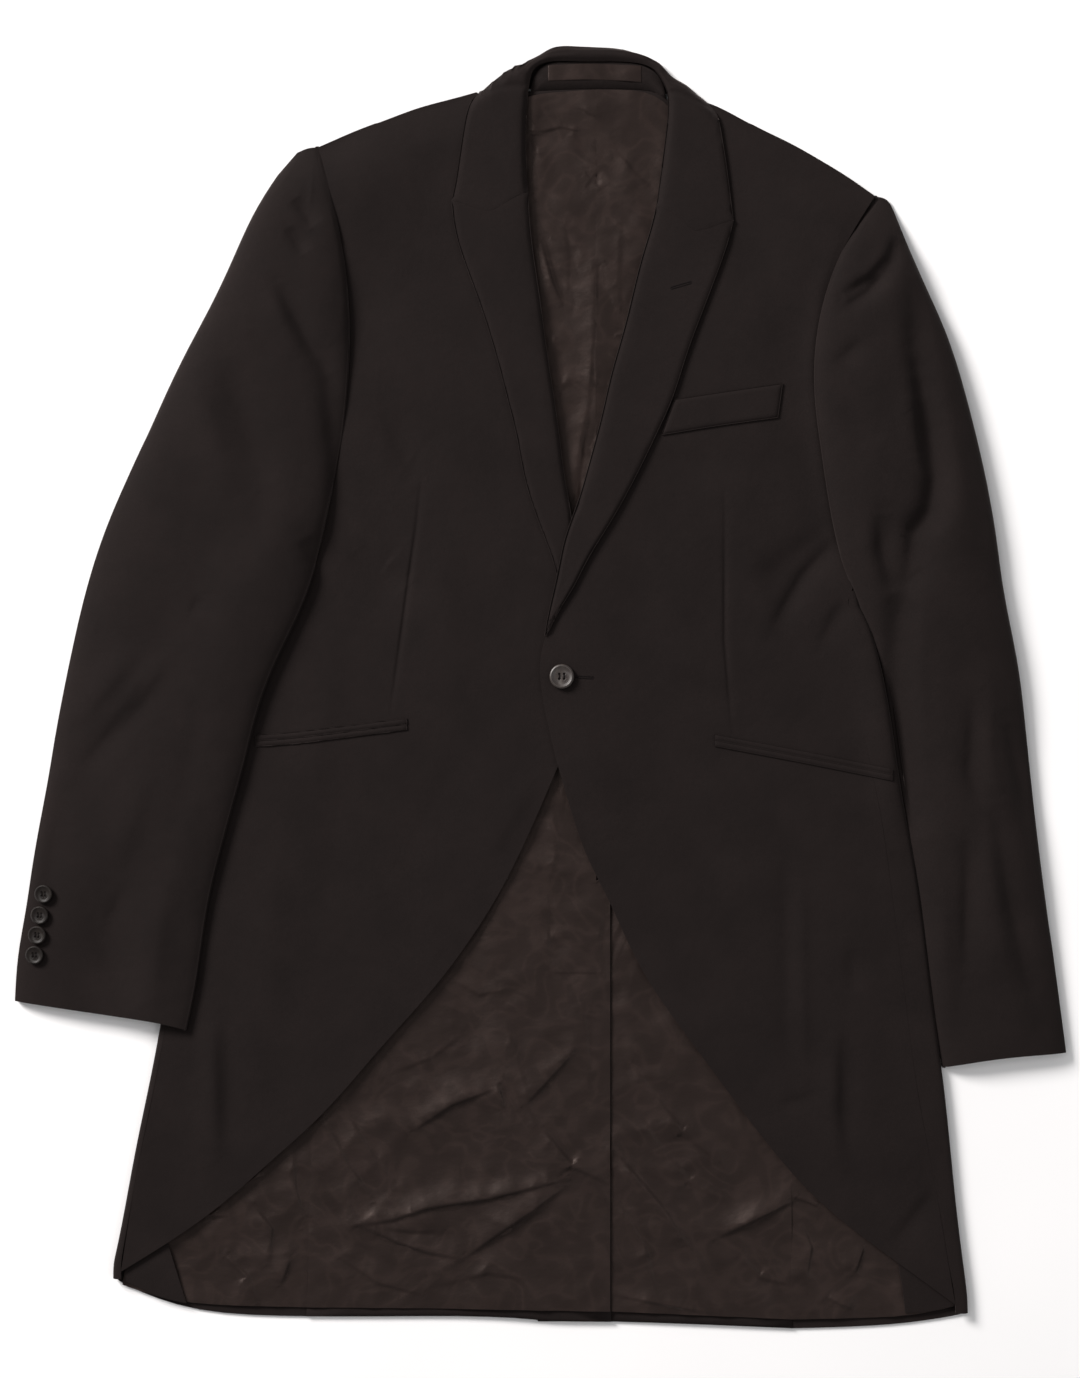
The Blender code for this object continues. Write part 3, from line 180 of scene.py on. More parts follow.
SLEEVE_CREASES = [
    ([(-186, 368), (-178, 358), (-170, 346)], 5, -1.6),
    ([(-190, 346), (-184, 336), (-177, 325)], 5, -1.2),
    ([(-198, 305), (-184, 278), (-170, 251), (-158, 234)], 6, -1.8),
    ([(-206, 300), (-193, 272), (-180, 246)], 7, 1.0),
    ([(-262, 234), (-246, 190), (-227, 140)], 12, 1.2),
    ([(-240, 250), (-222, 200), (-206, 150)], 10, -1.2),
    ([(-163, 252), (-156, 190), (-150, 122)], 8, -1.8),
    ([(-178, 113), (-170, 98), (-158, 80)], 9, -2.0),
    ([(-290, 12), (-306, -14), (-333, -48), (-346, -64)], 7, -1.1),
    ([(-282, 20), (-300, -2), (-322, -30)], 7, 1.2),
    ([(-302, 30), (-320, 8), (-344, -20)], 8, 0.9),
    ([(-256, 68), (-263, 53)], 5, -0.5),
    ([(-312, -148), (-320, -166), (-328, -184)], 6, -0.5),
    ([(-334, -178), (-322, -210), (-304, -243)], 11, -1.0),
    ([(-250, 0), (-262, -60), (-276, -120)], 12, -1.0),
    ([(-296, -60), (-312, -110), (-326, -140)], 11, 0.9),
    ([(-282, -150), (-290, -200), (-294, -244)], 9, 0.8),
    ([(-360, -80), (-368, -130), (-376, -180)], 8, -0.8),
    ([(271, 341), (262, 322), (249, 307), (227, 294)], 5, -2.6),
    ([(260, 310), (246, 296), (227, 284)], 4, -1.4),
    ([(266, 330), (254, 314), (240, 304)], 5, 1.1),
    ([(245, 262), (233, 252), (222, 242)], 6, -1.0),
    ([(222, 213), (240, 198), (257, 182)], 7, -0.8),
    ([(281, 312), (282, 280), (281, 250), (283, 214)], 9, -2.2),
    ([(284, 240), (289, 207), (296, 158), (292, 133), (281, 117), (279, 86), (274, 62)], 8, -4.0),
    ([(276, 258), (278, 226), (279, 198), (282, 174)], 6, 1.4),
    ([(257, 132), (258, 104), (267, 70)], 8, -3.2),
    ([(272, 76), (270, 28), (272, -10), (277, -60), (284, -120)], 12, -4.8),
    ([(286, 60), (284, 10), (286, -40), (290, -90)], 8, 1.2),
    ([(327, -6), (324, -66), (333, -91)], 7, -1.7),
    ([(338, 10), (337, -50), (346, -86)], 7, 1.1),
    ([(351, -24), (359, -62), (367, -106)], 6, -1.5),
    ([(342, -84), (354, -161), (367, -217), (378, -252)], 7, -1.6),
    ([(334, -110), (343, -170), (352, -226)], 7, 1.0),
    ([(322, -112), (322, -160), (321, -219)], 6, -1.5),
    ([(306, 200), (316, 150), (322, 96)], 10, 0.9),
    ([(300, -150), (304, -200), (308, -250)], 8, 0.8),
]

LINING_CREASES = [
    ([(2, 434), (16, 436), (31, 433), (46, 423), (58, 411), (72, 393), (90, 374)], 5.5, -2.6),
    ([(-10, 421), (3, 421), (15, 424), (30, 421), (41, 419)], 2.6, 1.0),
    ([(-10, 417), (3, 416), (16, 419)], 2.6, -0.9),
    ([(-8, 417), (-5, 411), (-3, 404)], 2.6, -0.8),
    ([(33, 391), (39, 385), (46, 377)], 2.2, -0.5),
    ([(46, 392), (40, 385), (34, 377)], 2.0, -0.4),
    ([(0, 337), (5, 319), (9, 305), (16, 289)], 2.0, 1.1),
    ([(4, 338), (9, 320), (13, 306), (19, 292)], 2.4, -0.7),
    ([(43, 318), (44, 292), (43, 270), (41, 254), (38, 222)], 2.0, -1.1),
    ([(46, 316), (47, 292), (46, 270), (44, 250), (41, 222), (31, 180), (27, 141), (23, 124)], 3.4, 0.7),
    ([(49, 300), (51, 277), (49, 254), (46, 224)], 2.2, -0.9),
    ([(60, 352), (58, 310), (60, 268)], 5, 0.6),
    ([(44, 318), (43, 264), (41, 214)], 7, -1.1),
    ([(41, 226), (34, 186), (27, 144)], 6, -0.9),
    ([(20, 350), (24, 318), (22, 290)], 5, -0.5),
    ([(10, 262), (16, 230), (20, 200)], 4, -0.3),
    ([(-139, -406), (-112, -402), (-85, -393), (-39, -386), (19, -371)], 4.2, 2.4),
    ([(-137, -406), (-106, -420), (-84, -427), (-61, -431)], 4.0, 2.2),
    ([(-61, -433), (-33, -413), (-5, -394), (19, -376)], 5.5, 2.8),
    ([(-120, -411), (-98, -414), (-76, -414)], 5, -1.1),
    ([(-96, -334), (-67, -315), (-33, -302)], 4.4, 2.2),
    ([(-33, -301), (-30, -310), (-27, -320)], 3, 1.4),
    ([(-12, -315), (6, -296), (23, -277)], 4.2, 1.8),
    ([(0, -334), (23, -361), (48, -373)], 4.0, 1.9),
    ([(-190, -431), (-193, -441), (-197, -452)], 3.6, 1.8),
    ([(-225, -377), (-218, -372), (-211, -369)], 3.4, 2.2),
    ([(-262, -398), (-250, -399), (-238, -400)], 3, 1.6),
    ([(-165, -324), (-145, -364), (-126, -389)], 4, 1.2),
    ([(-150, -318), (-130, -352), (-108, -378)], 5, 1.0),
    ([(-188, -350), (-186, -380), (-178, -408)], 4, 1.1),
    ([(-218, -392), (-204, -410), (-206, -436)], 4, 1.3),
    ([(56, -352), (90, -392), (110, -421)], 4.2, 1.7),
    ([(67, -286), (88, -312), (107, -336), (135, -358)], 4.4, 1.3),
    ([(70, -318), (88, -346), (112, -374), (140, -388)], 5, 1.0),
    ([(133, -416), (168, -399), (191, -388)], 4.4, 2.6),
    ([(190, -385), (200, -388), (211, -393)], 3, 1.6),
    ([(244, -422), (241, -432), (237, -444)], 3.6, 1.8),
    ([(217, -461), (226, -466), (236, -470)], 3.2, 1.4),
    ([(196, -404), (204, -424), (200, -450)], 4, 1.2),
    ([(56, -386), (79, -425), (87, -459)], 4, 0.9),
    ([(56, -459), (96, -467), (135, -474)], 3.6, 1.1),
    ([(150, -430), (166, -446), (190, -452)], 4, 1.0),
    ([(-151, -431), (-123, -450), (-89, -459)], 3.8, 1.1),
    ([(-238, -430), (-222, -446), (-214, -466)], 4, 1.0),
    ([(-80, -452), (-40, -442), (-4, -448)], 5, 0.9),
    ([(-110, -290), (-84, -280), (-60, -262)], 5, 0.9),
    ([(-64, -222), (-46, -232), (-30, -228)], 4.5, 0.8),
    ([(-30, -240), (-18, -280), (-6, -330)], 6, 0.9),
    ([(30, -236), (34, -262), (36, -300)], 5, 0.7),
    ([(8, -92), (12, -120), (6, -150)], 5, 0.7),
    ([(50, -156), (46, -190), (48, -214)], 2.4, -0.6),
]

# Seams of the lining above the vent
LINING_SEAMS = [
    ([(7, -153), (30, -153), (53, -153)], 2.0, -0.5),
    ([(7, -156), (7, -190), (7, -217)], 2.0, -0.4),
    ([(7, -217), (30, -217), (52, -217)], 2.0, -0.35),
]

# Each cloth piece: its width, length and area laid flat, in metres and square metres, and the turn
# of its weave in degrees
CLOTH = {
    "back_left": (0.250, 0.940, 0.155, 0),
    "back_right": (0.232, 0.935, 0.184, 0),
    "side_panel_left": (0.170, 0.545, 0.071, 4),
    "side_panel_right": (0.180, 0.570, 0.072, -5),
    "front_left": (0.316, 0.900, 0.149, 2),
    "front_right": (0.350, 0.885, 0.154, -3),
    "lapel_left": (0.110, 0.335, 0.0140, 24),
    "lapel_right": (0.080, 0.300, 0.0116, -14),
    "collar_fall": (0.075, 0.420, 0.0155, 90),
    "collar_stand": (0.020, 0.085, 0.0015, 90),
    "sleeve_top_left": (0.145, 0.680, 0.0735, 8),
    "sleeve_top_right": (0.180, 0.690, 0.0945, -22),
    "sleeve_under_left": (0.130, 0.660, 0.0602, 8),
    "sleeve_under_right": (0.160, 0.680, 0.0830, -22),
    "pocket_jets_left": (0.0104, 0.137, 0.0013, 11),
    "pocket_jets_right": (0.0104, 0.115, 0.0011, -6),
    "chest_welt": (0.027, 0.090, 0.0023, 10),
    "hem_facing_left": (0.047, 0.050, 0.0018, 0),
    "hem_facing_right": (0.047, 0.060, 0.0017, 0),
    "lining_back_left": (0.180, 0.932, 0.127, 0),
    "lining_back_right": (0.230, 0.925, 0.174, 0),
    "lining_side_left": (0.148, 0.500, 0.0520, 0),
    "lining_side_right": (0.190, 0.560, 0.0625, 0),
    "hanger_loop": (0.0135, 0.071, 0.0009, 0),
}
JETS = {
    "pocket_jets_left": ("pocket_jet_upper_left", "pocket_jet_lower_left"),
    "pocket_jets_right": ("pocket_jet_upper_right", "pocket_jet_lower_right"),
}
LINING = ("lining_back_left", "lining_back_right", "lining_side_left", "lining_side_right",
          "hanger_loop")
SLEEVES = ("sleeve_top_left", "sleeve_top_right", "sleeve_under_left", "sleeve_under_right")
FLAT_PIECES = ("back_left", "back_right", "sleeve_under_left", "sleeve_under_right", "collar_stand")


def smooth(t):
    """A soft step from 0 to 1."""
    t = min(max(t, 0.0), 1.0)
    return t * t * (3 - 2 * t)


# Materials

# Blender's wave texture takes the sine of its scaled place times this
WAVE_RATE = 20


def wave_scale(pitch):
    """The scale at which a wave texture has this pitch."""
    return 2 * math.pi / (WAVE_RATE * pitch)


class Nodes:
    """A material's node tree, with short calls for its usual nodes."""

    def __init__(self, name):
        self.material = bpy.data.materials.new(name)
        self.material.use_nodes = True
        self.tree = self.material.node_tree
        self.shader = self.tree.nodes["Principled BSDF"]
        self.place = self.tree.nodes.new("ShaderNodeTexCoord").outputs["Object"]

    def add(self, kind, **values):
        node = self.tree.nodes.new(kind)
        for key, value in values.items():
            if hasattr(node, key):
                setattr(node, key, value)
            else:
                node.inputs[key.replace("_", " ")].default_value = value
        return node

    def link(self, start, end):
        self.tree.links.new(start, end)

    def turned(self, degrees, scale=(1, 1, 1)):
        mapping = self.add("ShaderNodeMapping")
        mapping.inputs["Rotation"].default_value = (0, 0, math.radians(degrees))
        mapping.inputs["Scale"].default_value = scale
        self.link(self.place, mapping.inputs["Vector"])
        return mapping.outputs["Vector"]

    def noise(self, scale, detail=3.0, place=None, roughness=0.55, kind="FBM", distortion=0.0,
              offset=0.0):
        node = self.add("ShaderNodeTexNoise", noise_type=kind, Scale=scale, Detail=detail,
                        Roughness=roughness, Distortion=distortion)
        if offset:
            node.inputs["Offset"].default_value = offset
        self.link(place or self.place, node.inputs["Vector"])
        return node.outputs["Fac"]

    def bands(self, pitch, place, distortion=0.0):
        """Threads at a pitch in metres, running across the turned X."""
        node = self.add("ShaderNodeTexWave", wave_type="BANDS", bands_direction="X")
        node.inputs["Scale"].default_value = wave_scale(pitch)
        node.inputs["Distortion"].default_value = distortion
        self.link(place, node.inputs["Vector"])
        return node.outputs["Fac"]

    def ramp(self, value, stops):
        node = self.add("ShaderNodeValToRGB")
        ramp = node.color_ramp
        ramp.elements[0].position, ramp.elements[0].color = stops[0][0], (*stops[0][1], 1)
        ramp.elements[1].position, ramp.elements[1].color = stops[-1][0], (*stops[-1][1], 1)
        for position, colour in stops[1:-1]:
            ramp.elements.new(position).color = (*colour, 1)
        self.link(value, node.inputs["Fac"])
        return node.outputs["Color"]

    def multiply(self, first, second):
        node = self.tree.nodes.new("ShaderNodeMix")
        node.data_type = "RGBA"
        node.blend_type = "MULTIPLY"
        node.inputs[0].default_value = 1.0
        self.link(first, node.inputs[6])
        self.link(second, node.inputs[7])
        return node.outputs[2]

    def bump(self, height, distance, strength=1.0, under=None):
        node = self.add("ShaderNodeBump", Strength=strength, Distance=distance)
        self.link(height, node.inputs["Height"])
        if under:
            self.link(under, node.inputs["Normal"])
        return node.outputs["Normal"]

    def spread(self, value, low, high):
        node = self.add("ShaderNodeMapRange")
        node.inputs["To Min"].default_value = low
        node.inputs["To Max"].default_value = high
        self.link(value, node.inputs["Value"])
        return node.outputs["Result"]


def worsted(name, grain):
    """Black worsted wool with a fine twill, a short nap and faint lint."""
    nodes = Nodes(name)
    along = nodes.turned(grain + 62)
    twill = nodes.bands(0.0009, along, 0.6)
    nap = nodes.noise(1400, 4, roughness=0.7)
    cloud = nodes.noise(26, 4)
    tone = nodes.ramp(cloud, [(0.3, (0.0094, 0.0066, 0.0063)), (0.7, (0.0126, 0.0090, 0.0086))])
    flecks = nodes.ramp(nap, [(0.35, (0.72, 0.72, 0.72)), (0.75, (1.3, 1.28, 1.26))])
    nodes.link(nodes.multiply(tone, flecks), nodes.shader.inputs["Base Color"])
    nodes.link(nodes.spread(cloud, 0.78, 0.9), nodes.shader.inputs["Roughness"])
    nodes.shader.inputs["Sheen Weight"].default_value = 0.13
    nodes.shader.inputs["Sheen Roughness"].default_value = 0.42
    nodes.shader.inputs["Sheen Tint"].default_value = (0.78, 0.64, 0.61, 1)
    nodes.shader.inputs["Specular IOR Level"].default_value = 0.1
    ripple = nodes.noise(120, 3)
    lower = nodes.bump(ripple, 0.0009, 0.35)
    weave = nodes.bump(twill, 0.00006, 0.6, lower)
    nodes.link(nodes.bump(nap, 0.00012, 0.5, weave), nodes.shader.inputs["Normal"])
    return nodes.material


def satin(name, grain):
    """Dark lining satin: close cross threads, small puckers, and a painted highlight: a soft shine
    painted into its colour in wisps.
    """
    nodes = Nodes(name)
    across = nodes.turned(grain + 90)
    threads = nodes.bands(0.0006, across, 1.0)
    puckers = nodes.noise(38, 3, roughness=0.5, kind="RIDGED_MULTIFRACTAL")
    # Painted highlight: ridged wisps that lighten the base colour, standing in for the satin's shine
    painted_shine_wisps = nodes.noise(30, 4, roughness=0.6, kind="RIDGED_MULTIFRACTAL", distortion=1.7, offset=0.9)
    creping = nodes.noise(230, 3, place=nodes.turned(grain, (0.6, 1.0, 1.0)), roughness=0.5)
    cloud = nodes.noise(34, 3)
    tone = nodes.ramp(cloud, [(0.3, (0.0122, 0.0083, 0.0074)), (0.7, (0.0168, 0.0115, 0.0104))])
    # Painted highlight: the wisps scale the base colour from a little darker to about a fifth lighter
    painted_shine = nodes.ramp(painted_shine_wisps, [(0.35, (0.89, 0.89, 0.89)), (0.75, (1.0, 1.0, 1.0)),
                               (1.0, (1.22, 1.21, 1.2))])
    tone = nodes.multiply(tone, painted_shine)
    lines = nodes.ramp(threads, [(0.2, (0.86, 0.85, 0.85)), (0.8, (1.12, 1.1, 1.1))])
    nodes.link(nodes.multiply(tone, lines), nodes.shader.inputs["Base Color"])
    nodes.link(nodes.spread(puckers, 0.44, 0.58), nodes.shader.inputs["Roughness"])
    nodes.shader.inputs["Specular IOR Level"].default_value = 0.22
    nodes.shader.inputs["Specular Tint"].default_value = (1.0, 0.8, 0.73, 1)
    nodes.shader.inputs["Sheen Weight"].default_value = 0.05
    nodes.shader.inputs["Sheen Tint"].default_value = (0.8, 0.62, 0.58, 1)
    lower = nodes.bump(creping, 0.0006, 0.4, nodes.bump(puckers, 0.0026, 0.6))
    nodes.link(nodes.bump(threads, 0.00003, 0.4, lower), nodes.shader.inputs["Normal"])
    return nodes.material


def horn(name, light):
    """Brown-grey horn with cloudy streaks and the fine rings that turning leaves."""
    nodes = Nodes(name)
    streaks = nodes.noise(260, 4, nodes.turned(30, (1, 0.25, 1)))
    rings = nodes.add("ShaderNodeTexWave", wave_type="RINGS", rings_direction="Z", Distortion=0.4)
    rings.inputs["Scale"].default_value = wave_scale(RING_SHARE)
    centre = nodes.add("ShaderNodeMapping")
    centre.inputs["Location"].default_value = (-0.5, -0.5, -0.5)
    nodes.link(nodes.tree.nodes["Texture Coordinate"].outputs["Generated"], centre.inputs["Vector"])
    nodes.link(centre.outputs["Vector"], rings.inputs["Vector"])
    stops = ((0.35, (0.030, 0.023, 0.021)), (0.6, (0.046, 0.037, 0.033)), (0.8, (0.082, 0.066, 0.056)))
    tone = nodes.ramp(streaks, [(place, [light * value for value in colour]) for place, colour in stops])
    shade = nodes.ramp(rings.outputs["Fac"], [(0.2, (0.82, 0.82, 0.82)), (0.8, (1.1, 1.1, 1.1))])
    nodes.link(nodes.multiply(tone, shade), nodes.shader.inputs["Base Color"])
    nodes.link(nodes.spread(streaks, 0.34, 0.46), nodes.shader.inputs["Roughness"])
    nodes.shader.inputs["Anisotropic"].default_value = 0.7
    nodes.shader.inputs["Specular IOR Level"].default_value = 0.5 * light
    turning = nodes.add("ShaderNodeTangent", direction_type="RADIAL", axis="Z")
    nodes.link(turning.outputs["Tangent"], nodes.shader.inputs["Tangent"])
    nodes.link(nodes.bump(rings.outputs["Fac"], 0.00004, 0.5), nodes.shader.inputs["Normal"])
    return nodes.material


def thread_look(name, low, high):
    """Twisted sewing thread."""
    nodes = Nodes(name)
    strands = nodes.bands(0.0004, nodes.turned(40), 1.5)
    nodes.link(nodes.ramp(strands, [(0.2, low), (0.8, high)]), nodes.shader.inputs["Base Color"])
    nodes.shader.inputs["Roughness"].default_value = 0.8
    nodes.shader.inputs["Specular IOR Level"].default_value = 0.1
    nodes.link(nodes.bump(strands, 0.00008, 0.6), nodes.shader.inputs["Normal"])
    return nodes.material


# Cloth

def distance_along(x, y, points):
    """Distance to a bent line, how far along it the nearest place is, from 0 to 1, and whether
    the point lies on the side that the key light comes from."""
    best = None
    walked = 0.0
    for (ax, ay), (bx, by) in zip(points, points[1:]):
        dx, dy = bx - ax, by - ay
        length = math.hypot(dx, dy)
        share = ((x - ax) * dx + (y - ay) * dy) / length**2
        held = min(max(share, 0.0), 1.0)
        off_x, off_y = x - ax - dx * held, y - ay - dy * held
        away = math.hypot(off_x, off_y)
        if best is None or away < best[0]:
            best = (away, walked + held * length, off_y > off_x)
        walked += length
    return best[0], best[1] / walked, best[2]


class Creases:
    """A table of creases sorted into squares, so that each place meets only those near it.

    A crease is steep on the side that lies in shade and gentle on the side that the light meets."""

    # Side of a square in millimetres
    SQUARE = 24.0

    def __init__(self, rows, gain, dark_side, lit_side):
        self.dark_side = dark_side
        self.lit_side = lit_side
        self.squares = {}
        for points, width, height in rows:
            height *= gain
            reach = CREASE_END * lit_side * width
            xs = [point[0] for point in points]
            ys = [point[1] for point in points]
            for column in range(self.index(min(xs) - reach), self.index(max(xs) + reach) + 1):
                for row in range(self.index(min(ys) - reach), self.index(max(ys) + reach) + 1):
                    self.squares.setdefault((column, row), []).append((points, width, height))

    def index(self, value):
        return math.floor(value / self.SQUARE)

    def near(self, x, y):
        return self.squares.get((self.index(x), self.index(y)), ())

    def height(self, x, y):
        total = 0.0
        for points, width, height in self.near(x, y):
            away, share, is_lit = distance_along(x, y, points)
            if away < CREASE_END * self.lit_side * width:
                fade = math.sin(math.pi * min(max(share, END_SHARE), 1 - END_SHARE)) ** FADE_POWER
                side = self.dark_side if is_lit == (height < 0) else self.lit_side
                total += height * fade * math.exp(-((away / (width * side)) ** 2))
        return total

    def finest(self, x, y, usual):
        """The edge length that the creases near a place ask for."""
        limit = usual
        for points, width, _ in self.near(x, y):
            if CLOSE_LENGTH * width < limit:
                away = distance_along(x, y, points)[0]
                if away < BESIDE_WIDTHS * width:
                    is_close = away < CLOSE_WIDTHS * width
                    limit = min(limit, width * (CLOSE_LENGTH if is_close else BESIDE_LENGTH))
        return limit


BODY = Creases(BODY_CREASES + BODY_SEAMS, 1.7, 0.9, 1.6)
ARMS = Creases(SLEEVE_CREASES, 1.9, 0.9, 1.6)
SATIN_FOLDS = Creases(LINING_CREASES + LINING_SEAMS, 1.35, 0.42, 2.4)


def creases_of(name):
    if name in LINING:
        return SATIN_FOLDS
    return ARMS if name in SLEEVES else BODY


def merged_copy(name):
    """The node's own form with its loose triangles joined into a skin of mostly four-sided faces."""
    bm = bmesh.new()
    for node in JETS.get(name, (name,)):
        bm.from_mesh(bpy.data.objects[node].data)
    bmesh.ops.remove_doubles(bm, verts=bm.verts, dist=0.00001)
    bmesh.ops.dissolve_degenerate(bm, edges=bm.edges, dist=0.000005)
    bmesh.ops.join_triangles(bm, faces=bm.faces, angle_face_threshold=math.radians(30),
                             angle_shape_threshold=math.radians(60))
    return bm


def rounded_skin(name, levels):
    """Subdivides the form with its rims kept crisp, and returns it as a bmesh."""
    bm = merged_copy(name)
    crease = bm.edges.layers.float.new("crease_edge")
    for edge in bm.edges:
        if len(edge.link_faces) != 2 or edge.calc_face_angle(0.0) > RIM_ANGLE:
            edge[crease] = 1.0
    mesh = bpy.data.meshes.new(name + "_form")
    bm.to_mesh(mesh)
    bm.free()
    item = bpy.data.objects.new(name + "_form", mesh)
    bpy.context.scene.collection.objects.link(item)
    subsurf = item.modifiers.new("Round", "SUBSURF")
    subsurf.levels = levels
    subsurf.render_levels = levels
    graph = bpy.context.evaluated_depsgraph_get()
    finished = bmesh.new()
    finished.from_object(item, graph)
    bpy.data.objects.remove(item, do_unlink=True)
    bpy.data.meshes.remove(mesh)
    return finished


def is_open_above(tree, place):
    """Whether nothing of a tree's pieces lies over a place."""
    return tree.ray_cast(place + Vector((0, 0, COVER_GAP)), Vector((0, 0, 1)), COVER_REACH)[0] is None


def refine(bm, creases, usual, seen):
    """Splits the edges that can be seen until they are short enough for the creases there."""
    for _ in range(SPLIT_ROUNDS):
        long_edges = []
        for edge in bm.edges:
            middle = (edge.verts[0].co + edge.verts[1].co) / 2
            if edge.calc_length() < SHORTEST_SHARE * usual * MM or not seen(edge, middle):
                continue
            limit = creases.finest(middle.x / MM, middle.y / MM, usual)
            if edge.calc_length() > limit * MM * EDGE_SLACK:
                long_edges.append(edge)
        if not long_edges:
            break
        bmesh.ops.subdivide_edges(bm, edges=long_edges, cuts=1, use_grid_fill=True)
        wide = [face for face in bm.faces if len(face.verts) > 4]
        bmesh.ops.triangulate(bm, faces=wide)


def add_piece(name, bm, look, nodes=()):
    """Turns a bmesh into a piece of the coat, in place of the nodes that it is made for."""
    mesh = bpy.data.meshes.new(name)
    bm.to_mesh(mesh)
    bm.free()
    mesh.shade_smooth()
    mesh.set_sharp_from_angle(angle=SHARP_ANGLE)
    mesh.materials.append(look)
    piece = bpy.data.objects.new(name, mesh)
    bpy.context.scene.collection.objects.link(piece)
    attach(piece, "root")
    if nodes:
        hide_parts(*nodes)
    return piece


def body_tree(names):
    """The forms of some nodes as one tree for nearest-place questions."""
    verts, faces = [], []
    for name in names:
        mesh = bpy.data.objects[name].data
        start = len(verts)
        verts.extend(vert.co.copy() for vert in mesh.vertices)
        faces.extend([start + index for index in face.vertices] for face in mesh.polygons)
    return BVHTree.FromPolygons(verts, faces)


COVER = body_tree(("front_left", "front_right", "lapel_left", "lapel_right", "collar_fall",
                   "side_panel_left", "side_panel_right"))
LAPELS = body_tree(("lapel_left", "lapel_right"))
COLLAR = body_tree(("collar_fall",))
BODY_SHELL = body_tree(("front_left", "front_right", "side_panel_left", "side_panel_right", "back_left",
                        "back_right"))


def rumple(kind, place):
    """Soft unevenness of cloth that lies loose."""
    height, scale = RUMPLE[kind]
    if kind == "lining":
        return height * (noise.ridged_multi_fractal(place * scale, 0.9, 2.1, 3, 0.9, 1.5) - 1.0)
    return height * noise.fractal(place * scale, 0.9, 2.0, 3)


def reach_out(name, vert):
    """How far an edge's vertex goes outward to close its seam."""
    if name in SLEEVES and BODY_SHELL.find_nearest(vert.co, ARMHOLE_NEAR)[0]:
        return ARMHOLE_FILL
    if vert.co.y > NECK_LINE_Y * MM and name in ("front_left", "front_right", "back_left", "back_right"):
        return NECK_FILL * smooth((vert.co.y / MM - NECK_LINE_Y) / NECK_RISE)
    return SEAM_FILL


def pull_corner(bm, corner, target, reach):
    """Draws a corner of cloth toward a place, less and less up to a reach in millimetres."""
    shift = (Vector((*target, 0)) - Vector((*corner, 0))) * MM
    for vert in bm.verts:
        away = math.hypot(vert.co.x / MM - corner[0], vert.co.y / MM - corner[1])
        vert.co += shift * (1 - smooth(away / reach))


def press(bm, amount, width, joined):
    """Flattens the top of a piece toward its rim, but not where it is sewn to a joined piece."""
    rim = {vert for edge in bm.edges for vert in edge.verts if edge.calc_face_angle(0.0) > RIM_ANGLE
           and not joined.find_nearest(vert.co, SEWN_NEAR)[0]}
    tree = KDTree(len(rim))
    for index, vert in enumerate(rim):
        tree.insert(Vector((vert.co.x, vert.co.y, 0)), index)
    tree.balance()
    for vert in bm.verts:
        if vert.normal.z > 0.2:
            away = tree.find(Vector((vert.co.x, vert.co.y, 0)))[2] / MM
            vert.co.z -= amount * MM * (1 - smooth(away / width))


def close_seams(bm, name):
    """Lets a sleeve sink beside its armhole, and moves each edge out to meet its neighbour."""
    bm.normal_update()
    for vert in bm.verts:
        if name in ARMHOLE_SINK:
            near = BODY_SHELL.find_nearest(vert.co, SINK_REACH)[3]
            if near is not None:
                vert.co.z -= ARMHOLE_SINK[name] * MM * (1 - smooth(near / SINK_REACH))
        if abs(vert.normal.z) < 0.9:
            outward = Vector((vert.normal.x, vert.normal.y, 0))
            vert.co += outward * reach_out(name, vert) * MM


def looseness(bm, kind):
    """How far each vertex follows the creases, from 0 where it's covered or lies low to 1."""
    loose = {}
    for vert in bm.verts:
        if kind == "lining":
            loose[vert] = 1.0 if is_open_above(COVER, vert.co) else 0.0
        else:
            start, rise = LOOSE_FROM[kind]
            loose[vert] = smooth((vert.co.z - start) / rise)
    for _ in range(5 if kind == "lining" else 2):
        loose = {vert: (held + sum(loose[edge.other_vert(vert)] for edge in vert.link_edges))
                 / (1 + len(vert.link_edges)) for vert, held in loose.items()}
    return loose


def fold(bm, name, kind):
    """Raises and lowers the cloth by its creases and its unevenness."""
    creases = creases_of(name)
    for vert, loose in looseness(bm, kind).items():
        if loose > 0.01:
            height = creases.height(vert.co.x / MM, vert.co.y / MM) + rumple(kind, vert.co)
            if kind == "lining":
                height = max(height, LINING_DEPTH)
            vert.co.z += height * loose * MM


def dress(name):
    width, length, area, grain = CLOTH[name]
    lining = name in LINING
    flat = name in FLAT_PIECES
    kind = "lining" if lining else "arm" if name in SLEEVES else "body"
    bm = rounded_skin(name, 1 if flat or lining else 2)

    def seen(edge, middle):
        if not edge.link_faces or max(face.normal.z for face in edge.link_faces) < LEAST_FACING:
            return False
        return (not lining or is_open_above(COVER, middle)
                or is_open_above(COVER, middle + Vector((COVER_MARGIN, 0, 0))))

    if not flat:
        refine(bm, creases_of(name), FINE, seen)
    if not flat:
        rims = [edge for edge in bm.edges if edge.calc_face_angle(0.0) > SHARP_ANGLE
                and max(vert.co.z for vert in edge.verts) > RIM_ROUND_FROM]
        bmesh.ops.bevel(bm, geom=rims, offset=RIM_ROUND, segments=2, profile=0.5, affect="EDGES",
                        material=-1, clamp_overlap=True)
    if name in PRESSED:
        press(bm, *PRESSED[name], LAPELS if name == "collar_fall" else COLLAR)
    for corner, target, reach in CORNERS.get(name, ()):
        pull_corner(bm, corner, target, reach)
    close_seams(bm, name)
    if not flat:
        fold(bm, name, kind)
    slot = "satin" if lining else "wool"
    piece = add_piece(name + "_cloth", bm, LOOKS[slot, grain], JETS.get(name, (name,)))
    return piece


